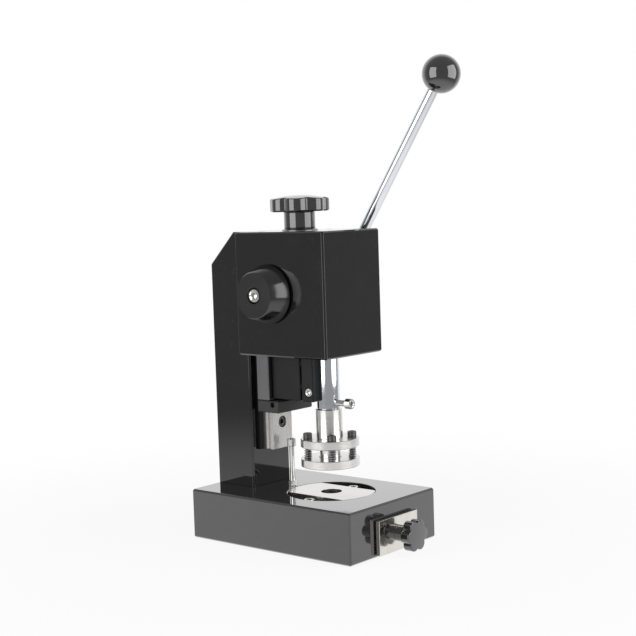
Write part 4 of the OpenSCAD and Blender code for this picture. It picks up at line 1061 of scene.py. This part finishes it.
class PRESS_OT_carriage(bpy.types.Operator):
    """Carriage: a ground steel body between two resin end caps"""

    bl_idname = "press.carriage"
    bl_label = "Carriage"

    def execute(self, context):
        size = sizes()
        low, high, _, _ = extent("carriage_body")
        way = prism(rail_outline(size.slip), [(0, low[2] - OVER), (0, high[2] + OVER)])
        mesh = carved(bevelled_block(low, high, size.small_bevel), [way])
        dress("carriage", mesh, "ground_steel", "ram", ["carriage_body"], size.soften / 2,
              "carriage_steel")
        self.cap("lower_end_cap", "lower_cap", low)
        self.cap("upper_end_cap", "upper_cap", low)
        return {"FINISHED"}

    def cap(self, node, name, body_low):
        """An end cap with its screws' counterbores; the lower one has a grease port in each side."""
        size = sizes()
        low, high, _, _ = extent(node)
        cutters = [prism(rail_outline(2 * size.slip), [(0, low[2] - OVER), (0, high[2] + OVER)])]
        lower = low[2] < body_low[2]
        facing = DOWN if lower else UP
        for seat, way in SCREWS["end_cap_screws"].seats():
            if way is facing:
                mouth = (seat[0], seat[1], low[2] if lower else high[2])
                radius = head_width(3 * MM) / 2 + size.screw_play
                cutters.append(bore(seat, mouth, radius, size.hole_lip / 2, 40))
        if lower:
            for side in (-1, 1):
                x = side * high[0]
                y, z = body_low[1] - size.port_set, low[2] + size.port_height
                start = (x - side * size.port_depth, y, z)
                cutters.append(bore(start, (x, y, z), size.port / 2, size.hole_lip, 40))
        mesh = carved(bevelled_block(low, high, size.small_bevel), cutters)
        dress(name, mesh, "cap_plastic", "ram", [node], size.soften)


class PRESS_OT_slide(bpy.types.Operator):
    """Slide block and the ram clamp that it carries, both wider at the top"""

    bl_idname = "press.slide"
    bl_label = "Slide block and clamp"

    def execute(self, context):
        size = sizes()
        low, high, _, _ = extent("slide_block")
        step = high[2] - size.clamp_head
        narrow = self.stepped(low, high, step)
        top = bevelled_block((low[0], low[1], step), high, size.small_bevel)
        heads = SCREWS["slide_block_screws"].counterbores(low[1], size.hole_lip)
        dress("slider", carved(narrow, heads, [top]), "satin_black", "ram", ["slide_block"], size.soften)
        self.clamp(low, high, step)
        return {"FINISHED"}

    def stepped(self, low, high, step):
        """The narrow lower part, which reaches into the wide top."""
        size = sizes()
        return bevelled_block((low[0] + size.relief, low[1], low[2]),
                              (high[0] - size.relief, high[1], step + size.clamp_head / 2),
                              size.small_bevel)

    def clamp(self, block_low, block_high, step):
        """The clamp: narrow below and wide on top, a pad behind it and a tongue for the rack."""
        size = sizes()
        low, high, _, _ = extent("ram_clamp")
        _, rod_high, axis, rod_size = extent("ram_rod")
        back = block_low[1] - size.slit
        top = block_high[2]
        narrow = self.stepped((low[0], axis[1] + size.clamp_set, low[2]), (high[0], back, high[2]), step)
        wide = bevelled_block((low[0], low[1], step), (high[0], back, top), size.small_bevel)
        rack_front = extent("rack")[0][1]
        half = size.tongue
        additions = [wide, bevelled_block(
            (-half, rack_front - half, top - OVER), (half, rack_front, high[2]), size.hole_lip)]
        for inset_x, foot in ((size.relief, low[2]), (0, step)):
            reach = high[0] - inset_x - size.pad_side
            additions.append(block((-reach, back - OVER, foot + size.pad_foot),
                                   (reach, block_low[1], top - size.hole_lip)))
        cutters = [rod((*axis[:2], low[2] - OVER), (*axis[:2], rod_high[2]), rod_size[0] / 2)]
        cutters += SCREWS["ram_clamp_screws"].counterbores(low[1], size.hole_lip)
        cutters += SCREWS["rack_screws"].counterbores(rack_front - half, size.hole_lip / 2)
        side = extent("rod_grip_screws")[1][0]
        for seat, facing in SCREWS["rod_grip_screws"].seats():
            mouth = (side * facing[0], seat[1], seat[2])
            cutters.append(bore(seat, mouth, head_width(5 * MM) / 2 + size.screw_play, size.hole_lip, 48))
        mesh = carved(narrow, cutters, additions)
        dress("clamp", mesh, "satin_black", "ram", ["ram_clamp"], size.soften)


class PRESS_OT_ram_rod(bpy.types.Operator):
    """Chromed ram rod"""

    bl_idname = "press.ram_rod"
    bl_label = "Ram rod"

    def execute(self, context):
        low, _, middle, size = extent("ram_rod")
        rows = bar_rows(size[0] / 2, size[2], sizes().small_bevel)
        shell = aim(polar(rows), (*middle[:2], low[2]), UP)
        dress("rod", welded(shell), "chrome_plate", "ram", ["ram_rod"])
        return {"FINISHED"}


class PRESS_OT_hubs(bpy.types.Operator):
    """Tapered left hub and the lever's hub, each recessed for its screw"""

    bl_idname = "press.hubs"
    bl_label = "Hubs"

    def execute(self, context):
        size = sizes()
        small = size.hub_end / 2
        _, left_high, _, left_size = extent("left_hub")
        left = self.turning(left_size[0], left_size[1] / 2, small, size.small_bevel)
        shell = aim(left, (left_high[0], *SHAFT_AXIS), LEFT)
        dress("taper_hub", welded(shell), "black_enamel", "lever", ["left_hub"], look="turned_hub")
        low, _, _, hub = extent("lever_hub")
        right = self.turning(hub[0], hub[1] / 2, hub[1] / 2, size.bevel)
        start, along, _ = lever_line()
        hole = rod(start + along * hub[1] / 8, start + along * hub[1], extent("lever_rod")[3][0] / 2)
        shell = aim(right, (low[0], *SHAFT_AXIS), RIGHT)
        dress("crank_hub", carved(shell, [hole]), "black_enamel", "lever", ["lever_hub"],
              look="turned_hub")
        return {"FINISHED"}

    def turning(self, span, inner, outer, edge):
        """A hub on Z: from the inner to the outer radius, recessed at its outer end."""
        size = sizes()
        shaft = extent("pinion_shaft")[3][1] / 2
        recess = head_width(8 * MM) / 2 + size.hub_play
        floor = span - size.hub_recess
        lip = size.hole_lip
        hole = size.hub_hole / 2
        return polar([
            (shaft, lip), (shaft + lip, 0), (inner - edge, 0), (inner, edge), (outer, span - edge),
            (outer - edge, span), (recess + lip, span), (recess, span - lip), (recess, floor + lip),
            (recess - lip, floor), (hole, floor), (hole, floor - size.hub_web),
            (shaft, floor - size.hub_web),
        ], 128, ring=True)


class PRESS_OT_lever(bpy.types.Operator):
    """Chromed lever and its ball"""

    bl_idname = "press.lever"
    bl_label = "Lever"

    def execute(self, context):
        size = sizes()
        start, along, reach = lever_line()
        ball = extent("lever_ball")[3][0] / 2
        root = extent("pinion_shaft")[3][1] / 2 + size.lever_gap
        rod_shell = polar(bar_rows(size.lever / 2, reach - ball / 2 - root, size.small_bevel), 64)
        shell = aim(rod_shell, start + along * root, along)
        dress("lever_bar", welded(shell), "chrome_plate", "lever", ["lever_rod"])
        flat = ball - size.ball_flat
        edge = math.acos(flat / ball)
        turn = np.linspace(edge + 0.03, math.pi, 60)
        floor = size.ball_bore - flat
        mouth = size.lever / 2 + size.ball_play
        lip = size.ball_lip
        rows = [(0, floor), (size.lever / 2, floor), (mouth, lip - flat), (mouth + lip, -flat),
                (ball * math.sin(edge) - lip, -flat)]
        rows += [(ball * math.sin(t), -ball * math.cos(t)) for t in turn]
        shell = aim(polar(rows, 128), start + along * reach, along)
        dress("ball", welded(shell), "black_plastic", "lever", ["lever_ball"])
        return {"FINISHED"}


class PRESS_OT_brake_knob(bpy.types.Operator):
    """Brake knob with its washer"""

    bl_idname = "press.brake_knob"
    bl_label = "Brake knob"

    def execute(self, context):
        size = sizes()
        low, high, _, _ = extent("brake_knob")
        stem = extent("brake_stem")[2]
        head = size.knob_head
        knob = star_knob(
            size.knob / 2, head, size.knob_neck / 2, high[2] - low[2] - head, size.knob_lobes,
            size.rim_share, size.lobe_share)
        across = math.cos(size.knob_turn) * RIGHT + math.sin(size.knob_turn) * BACK
        shell = aim(knob, (*stem[:2], low[2]), UP, across)
        dress("star_knob", welded(shell), "black_plastic", "brake_screw", ["brake_knob"], crease=50)
        washer_low, _, _, washer = extent("brake_washer")
        inner = extent("brake_stem")[3][0] / 2 + size.washer_play
        outer = washer[0] / 2
        rows = [(inner, 0), (outer, 0), (outer, size.washer_edge), (outer - size.washer_cone, washer[2]),
                (inner, washer[2])]
        shell = aim(polar(rows, ring=True), (*stem[:2], washer_low[2]), UP)
        dress("washer", welded(shell), "zinc_steel", "frame", ["brake_washer"], look="spring_steel")
        return {"FINISHED"}


class PRESS_OT_punch(bpy.types.Operator):
    """Punch holder with its ring, the punch and the stripper ring"""

    bl_idname = "press.punch"
    bl_label = "Punch and stripper"

    def execute(self, context):
        size = sizes()
        low, high, _, holder = extent("punch_holder")
        punch_low, _, _, punch = extent("punch")
        rod_low = extent("ram_rod")[0][2]
        radius = holder[0] / 2
        shank = size.shank / 2
        ring_top = size.upper_ring
        end = rod_low - low[2]
        lip = size.hole_lip
        spigot = size.spigot / 2
        fillet = [
            (shank + lip * (1 - math.sin(t)), ring_top + lip * (1 - math.cos(t)))
            for t in np.linspace(0, math.pi / 2, 5)
        ]
        rows = [(0, 0), (radius - lip, 0), (radius, lip), (radius, ring_top - lip), (radius - lip, ring_top)]
        rows += fillet
        rows += [(shank, end - lip), (shank - lip, end), (spigot, end), (spigot, high[2] - low[2] - lip),
                 (spigot - lip, high[2] - low[2]), (0, high[2] - low[2])]
        posts = [seat for seat, _ in SCREWS["stripper_screws"].seats()]
        hole = size.post_hole / 2
        holes = [rod((x, y, low[2] - OVER), (x, y, low[2] + ring_top + OVER), hole, 40) for x, y, _ in posts]
        shell = aim(polar(rows, 128), (*RAM_AXIS, low[2]), UP)
        dress("holder", carved(shell, holes), "turned_steel", "ram", ["punch_holder"])
        radius = punch[0] / 2
        relief = size.punch_relief
        land = size.punch_land
        rows = [(0, 0), (radius, 0), (radius, land), (radius - relief, land + relief),
                (radius - relief, low[2] - punch_low[2]), (spigot, low[2] - punch_low[2]),
                (spigot, punch[2] - lip), (spigot - lip, punch[2]), (0, punch[2])]
        shell = aim(polar(rows, 128), (*RAM_AXIS, punch_low[2]), UP)
        dress("punch_tool", welded(shell), "turned_steel", "ram", ["punch"])
        low, high, _, ring = extent("stripper_ring")
        rows = ring_rows(radius + size.stripper_play, ring[0] / 2, ring[2], lip)
        foot = high[2] - size.post_depth
        tap = size.post_tap / 2
        holes = [rod((x, y, foot), (x, y, high[2] + OVER), tap, 40) for x, y, _ in posts]
        shell = aim(polar(rows, 128, ring=True), (*RAM_AXIS, low[2]), UP)
        dress("stripper", carved(shell, holes), "turned_steel", "stripper", ["stripper_ring"])
        return {"FINISHED"}


class PRESS_OT_springs(bpy.types.Operator):
    """Return spring in the head and the four stripper springs"""

    bl_idname = "press.springs"
    bl_label = "Springs"

    def execute(self, context):
        size = sizes()
        low, high, middle, spring = extent("return_spring")
        radius = (max(spring[:2]) - size.wire) / 2
        shell = coil(radius, size.wire, low[2], high[2], size.return_turns)
        piece = dress("return_coil", welded(aim(shell, (*middle[:2], 0), UP)), "spring_steel", None,
                      ["return_spring"], crease=80)
        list(middle[:2])
        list(middle[:2])
        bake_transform(piece)
        low, high, _, spring = extent("stripper_springs")
        seats = [seat for seat, _ in SCREWS["stripper_screws"].seats()]
        radius = size.stripper_spring / 2 - size.stripper_wire / 2
        shell = coil(radius, size.stripper_wire, low[2], high[2], size.stripper_turns)
        shells = [aim(shell, (x, y, 0), UP) for x, y, _ in seats]
        piece = dress("stripper_coils", welded(joined(shells)), "spring_steel", None,
                      ["stripper_springs"], crease=80)
        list(RAM_AXIS)
        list(RAM_AXIS)
        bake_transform(piece)
        return {"FINISHED"}


class PRESS_OT_die(bpy.types.Operator):
    """Die plate: a disc with two side flanges and a hole for the punch"""

    bl_idname = "press.die"
    bl_label = "Die plate"

    def execute(self, context):
        size = sizes()
        low, high, middle, plate = extent("die_plate")
        bar = size.die_bar / 2
        flange = low[2] + size.die_flange
        disc = aim(polar(bar_rows(plate[0] / 2, plate[2], size.hole_lip), 192), (*middle[:2], low[2]), UP)
        hole = extent("punch")[3][0] / 2 + size.die_play
        cutters = [
            bore((*middle[:2], low[2] - OVER), (*middle[:2], high[2]), hole, size.die_play, 128),
            block((bar, low[1] - OVER, flange), (high[0] + OVER, high[1] + OVER, high[2] + OVER)),
            block((low[0] - OVER, low[1] - OVER, flange), (-bar, high[1] + OVER, high[2] + OVER)),
        ]
        mesh = carved(disc, cutters)
        dress("die", mesh, "turned_steel", "frame", ["die_plate"], size.soften / 2, "die_steel")
        return {"FINISHED"}


class PRESS_OT_stop(bpy.types.Operator):
    """Stop screw and its lock nut"""

    bl_idname = "press.stop"
    bl_label = "Stop screw"

    def execute(self, context):
        size = sizes()
        low, _, middle, screw = extent("stop_screw")
        nut_low, _, _, nut = extent("stop_nut")
        head = screw[0] / 2
        shank = size.stop / 2
        start = screw[2] - size.stop_head
        edge = size.hole_lip
        socket = hexagon(0.46 * size.stop, 96)
        rows = [(0, 0), (shank - edge, 0), (shank, edge), (shank, start), (head - edge, start),
                (head, start + edge), (head, screw[2] - edge), (head - edge, screw[2]),
                (0.58 * size.stop, screw[2]), (socket, screw[2] - 0.1 * size.stop),
                (socket, screw[2] - size.stop_socket), (0, screw[2] - size.stop_socket - edge)]
        dress("stop", welded(aim(polar(rows), (*middle[:2], low[2]), UP)), "zinc_steel", "stop",
              ["stop_screw"])
        apothem = nut[1] / 2 if nut[1] < nut[0] else nut[0] / 2
        shell = aim(hex_nut(apothem, nut[2], shank), (*middle[:2], nut_low[2]), UP)
        dress("stop_locknut", welded(shell), "zinc_steel", "frame", ["stop_nut"])
        return {"FINISHED"}


class PRESS_OT_drawer(bpy.types.Operator):
    """Drawer: tray, front plate and knob"""

    bl_idname = "press.drawer"
    bl_label = "Drawer"

    def execute(self, context):
        size = sizes()
        low, high, _, _ = extent("drawer_tray")
        wall = size.tray_wall
        inner_low = low + (wall, wall * 1.5, wall)
        inner_high = np.array([high[0] - wall, high[1] - wall, high[2] + OVER])
        mesh = carved(bevelled_block(low, high, size.hole_lip / 2), [block(inner_low, inner_high)])
        dress("tray", mesh, "stainless_sheet", "drawer", ["drawer_tray"], size.soften / 2)
        plate_low, plate_high, _, _ = extent("drawer_front")
        shell = bevelled_block(plate_low, plate_high, size.hole_lip / 2)
        dress("front_plate", welded(shell), "stainless_sheet", "drawer", ["drawer_front"], size.soften / 3)
        _, knob_high, _, knob = extent("drawer_knob")
        head = size.pull_head
        shell = star_knob(
            size.pull / 2, head, size.pull_neck / 2, knob[1] - head, size.pull_lobes,
            size.pull_rim_share, size.lobe_share)
        stud = extent("drawer_knob_stud")[2]
        knob_shell = aim(shell, (stud[0], knob_high[1], stud[2]), FRONT, RIGHT)
        dress("pull", welded(knob_shell), "black_plastic", "drawer", ["drawer_knob"], crease=50)
        return {"FINISHED"}


class PRESS_OT_screws(bpy.types.Operator):
    """All groups of socket cap screws"""

    bl_idname = "press.screws"
    bl_label = "Cap screws"

    def execute(self, context):
        for group in SCREWS.values():
            group.make()
        return {"FINISHED"}


class PRESS_OT_works(bpy.types.Operator):
    """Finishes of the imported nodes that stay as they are, such as the rack and the pinion"""

    bl_idname = "press.works"
    bl_label = "Works inside"

    def execute(self, context):
        slots = {part["node"]: part["material_slot"] for part in frame["record"]["subparts"]}
        for node, thing in frame["nodes"].items():
            thing.data.materials.clear()
            thing.data.materials.append(finish(slots[node]))
        return {"FINISHED"}


def bearing(azimuth, elevation):
    """Unit vector from the press towards an azimuth and an elevation."""
    flat = math.cos(elevation)
    return np.array([math.sin(azimuth) * flat, -math.cos(azimuth) * flat, math.sin(elevation)])


def looking(thing, target, azimuth, elevation, distance, roll=0.0):
    """Puts a camera or a lamp at a bearing from a target and turns it to look there."""
    back = bearing(azimuth, elevation)
    right = np.array([math.cos(azimuth), math.sin(azimuth), 0])
    up = np.cross(back, right)
    axes = np.stack([
        math.cos(roll) * right + math.sin(roll) * up,
        math.cos(roll) * up - math.sin(roll) * right,
        back,
    ], axis=1)
    place = Matrix.Translation(np.asarray(target) + back * distance)
    thing.matrix_world = place @ Matrix(axes.tolist()).to_4x4()
    bpy.context.scene.collection.objects.link(thing)


class PRESS_OT_stage(bpy.types.Operator):
    """Floor, world, softboxes and camera"""

    bl_idname = "press.stage"
    bl_label = "Stage"

    def execute(self, context):
        stage = context.scene.press_stage
        context.scene.view_settings.view_transform = "Standard"
        self.floor(stage)
        self.world(stage)
        middle = (*stage.target[:2], stage.box_height / 2)
        boxes = [
            ("left_softbox", stage.left_power, stage.left_turn, stage.left_width),
            ("right_softbox", stage.right_power, stage.right_turn, stage.right_width),
        ]
        for name, power, turn, width in boxes:
            lamp = bpy.data.lights.new(name, "AREA")
            lamp.shape = "RECTANGLE"
            lamp.size, lamp.size_y = width, stage.box_height
            lamp.energy = power
            looking(bpy.data.objects.new(name, lamp), middle, stage.azimuth + turn, 0, stage.box_distance)
        camera = bpy.data.cameras.new("camera")
        camera.lens = stage.lens
        camera.sensor_width = 36
        camera.clip_start = 0.01
        eye = bpy.data.objects.new("camera", camera)
        looking(eye, stage.target, stage.azimuth, stage.elevation, stage.distance, stage.roll)
        context.scene.camera = eye
        return {"FINISHED"}

    def unseen(self, nodes):
        """1 for rays that the camera, gloss or glass sends, 0 for light that falls on things."""
        path = nodes.node("LightPath")
        camera = Value(nodes, path.outputs["Is Camera Ray"])
        gloss = Value(nodes, path.outputs["Is Glossy Ray"])
        glass = Value(nodes, path.outputs["Is Transmission Ray"])
        return camera, gloss.math("MAXIMUM", glass)

    def floor(self, stage):
        """White paper that keeps the press's shadow; a mirror sees it dim far from the press, but not
        towards the backdrop."""
        radius = stage.floor
        top = -stage.floor_drop
        foot = top - stage.floor_sheet
        rows = [(0, foot), (radius, foot), (radius, top), (0, top)]
        disc = bpy.data.objects.new("floor", welded(polar(rows, 128)))
        bpy.context.scene.collection.objects.link(disc)
        look = bpy.data.materials.new("floor_paper")
        look.use_nodes = True
        nodes = Nodes(look.node_tree)
        camera, gloss = self.unseen(nodes)
        place = nodes.node("TexCoord").outputs["Object"]
        x, y, _ = nodes.parts(place)
        away = nodes.node("VectorMath", {"operation": "DOT_PRODUCT"},
                          {0: place, 1: tuple(-bearing(stage.azimuth, 0))})
        distance = (x * x + y * y).math("SQRT")
        dark = distance.ramp(0.3, 0.9) * (1 - Value(nodes, away.outputs["Value"]).ramp(0.1, 0.6))
        strength = 1 - gloss * dark * (1 - stage.studio)
        fade = distance.ramp(radius * 0.15, radius * 0.6)
        share = gloss.math("MAXIMUM", camera * (stage.floor_glow + (1 - stage.floor_glow) * fade))
        paper = nodes.node("BsdfDiffuse", None, {"Color": (0.88, 0.88, 0.88)})
        glow = nodes.node("Emission", None, {"Color": (1, 1, 1), "Strength": strength})
        mixed = nodes.node("MixShader", None, {0: share, 1: paper.outputs[0], 2: glow.outputs[0]})
        nodes.node("OutputMaterial", None, {"Surface": mixed.outputs[0]})
        disc.data.materials.append(look)

    def world(self, stage):
        """White for the camera; in reflections white behind the press and dimmer at its sides; even
        light on everything."""
        world = bpy.data.worlds.new("studio")
        world.use_nodes = True
        bpy.context.scene.world = world
        nodes = Nodes(world.node_tree)
        camera, gloss = self.unseen(nodes)
        away = tuple(-bearing(stage.azimuth, 0))
        direction = nodes.node("TexCoord").outputs["Generated"]
        dot = nodes.node("VectorMath", {"operation": "DOT_PRODUCT"}, {0: direction, 1: away})
        backdrop = Value(nodes, dot.outputs["Value"]).ramp(0.2, 0.7)
        seen = stage.studio + (1 - stage.studio) * backdrop
        strength = stage.ambient + gloss * (seen - stage.ambient)
        strength = strength + camera * (1 - strength)
        lit = nodes.node("Background", None, {"Color": (1, 1, 1), "Strength": strength})
        nodes.node("OutputWorld", None, {"Surface": lit.outputs[0]})


OPERATORS = [
    PRESS_OT_base, PRESS_OT_column, PRESS_OT_head, PRESS_OT_rail, PRESS_OT_carriage, PRESS_OT_slide,
    PRESS_OT_ram_rod, PRESS_OT_hubs, PRESS_OT_lever, PRESS_OT_brake_knob, PRESS_OT_punch,
    PRESS_OT_springs, PRESS_OT_die, PRESS_OT_stop, PRESS_OT_drawer, PRESS_OT_screws, PRESS_OT_works,
    PRESS_OT_stage,
]


class PRESS_PT_sidebar(bpy.types.Panel):
    """The press's pieces and its stage"""

    bl_idname = "PRESS_PT_sidebar"
    bl_label = "Disc punch press"
    bl_space_type = "VIEW_3D"
    bl_region_type = "UI"
    bl_category = "Press"

    def draw(self, context):
        for operator in OPERATORS:
            self.layout.operator(operator.bl_idname)
        for group in (context.scene.press_sizes, context.scene.press_colours, context.scene.press_stage):
            box = self.layout.box()
            for key in group.__annotations__:
                box.prop(group, key)


GROUPS = {"press_sizes": PressSizes, "press_colours": PressColours, "press_stage": PressStage}


def register():
    """Registers the settings, the operators and the panel."""
    for key, group in GROUPS.items():
        bpy.utils.register_class(group)
        setattr(bpy.types.Scene, key, PointerProperty(type=group))
    for thing in [*OPERATORS, PRESS_PT_sidebar]:
        bpy.utils.register_class(thing)


def unregister():
    """Takes them away again."""
    for thing in [PRESS_PT_sidebar, *reversed(OPERATORS)]:
        bpy.utils.unregister_class(thing)
    for key, group in GROUPS.items():
        delattr(bpy.types.Scene, key)
        bpy.utils.unregister_class(group)


def main():
    """Makes the press and its stage."""
    register()
    for operator in OPERATORS:
        family, _, name = operator.bl_idname.partition(".")
        getattr(getattr(bpy.ops, family), name)()


if __name__ == "__main__":
    main()
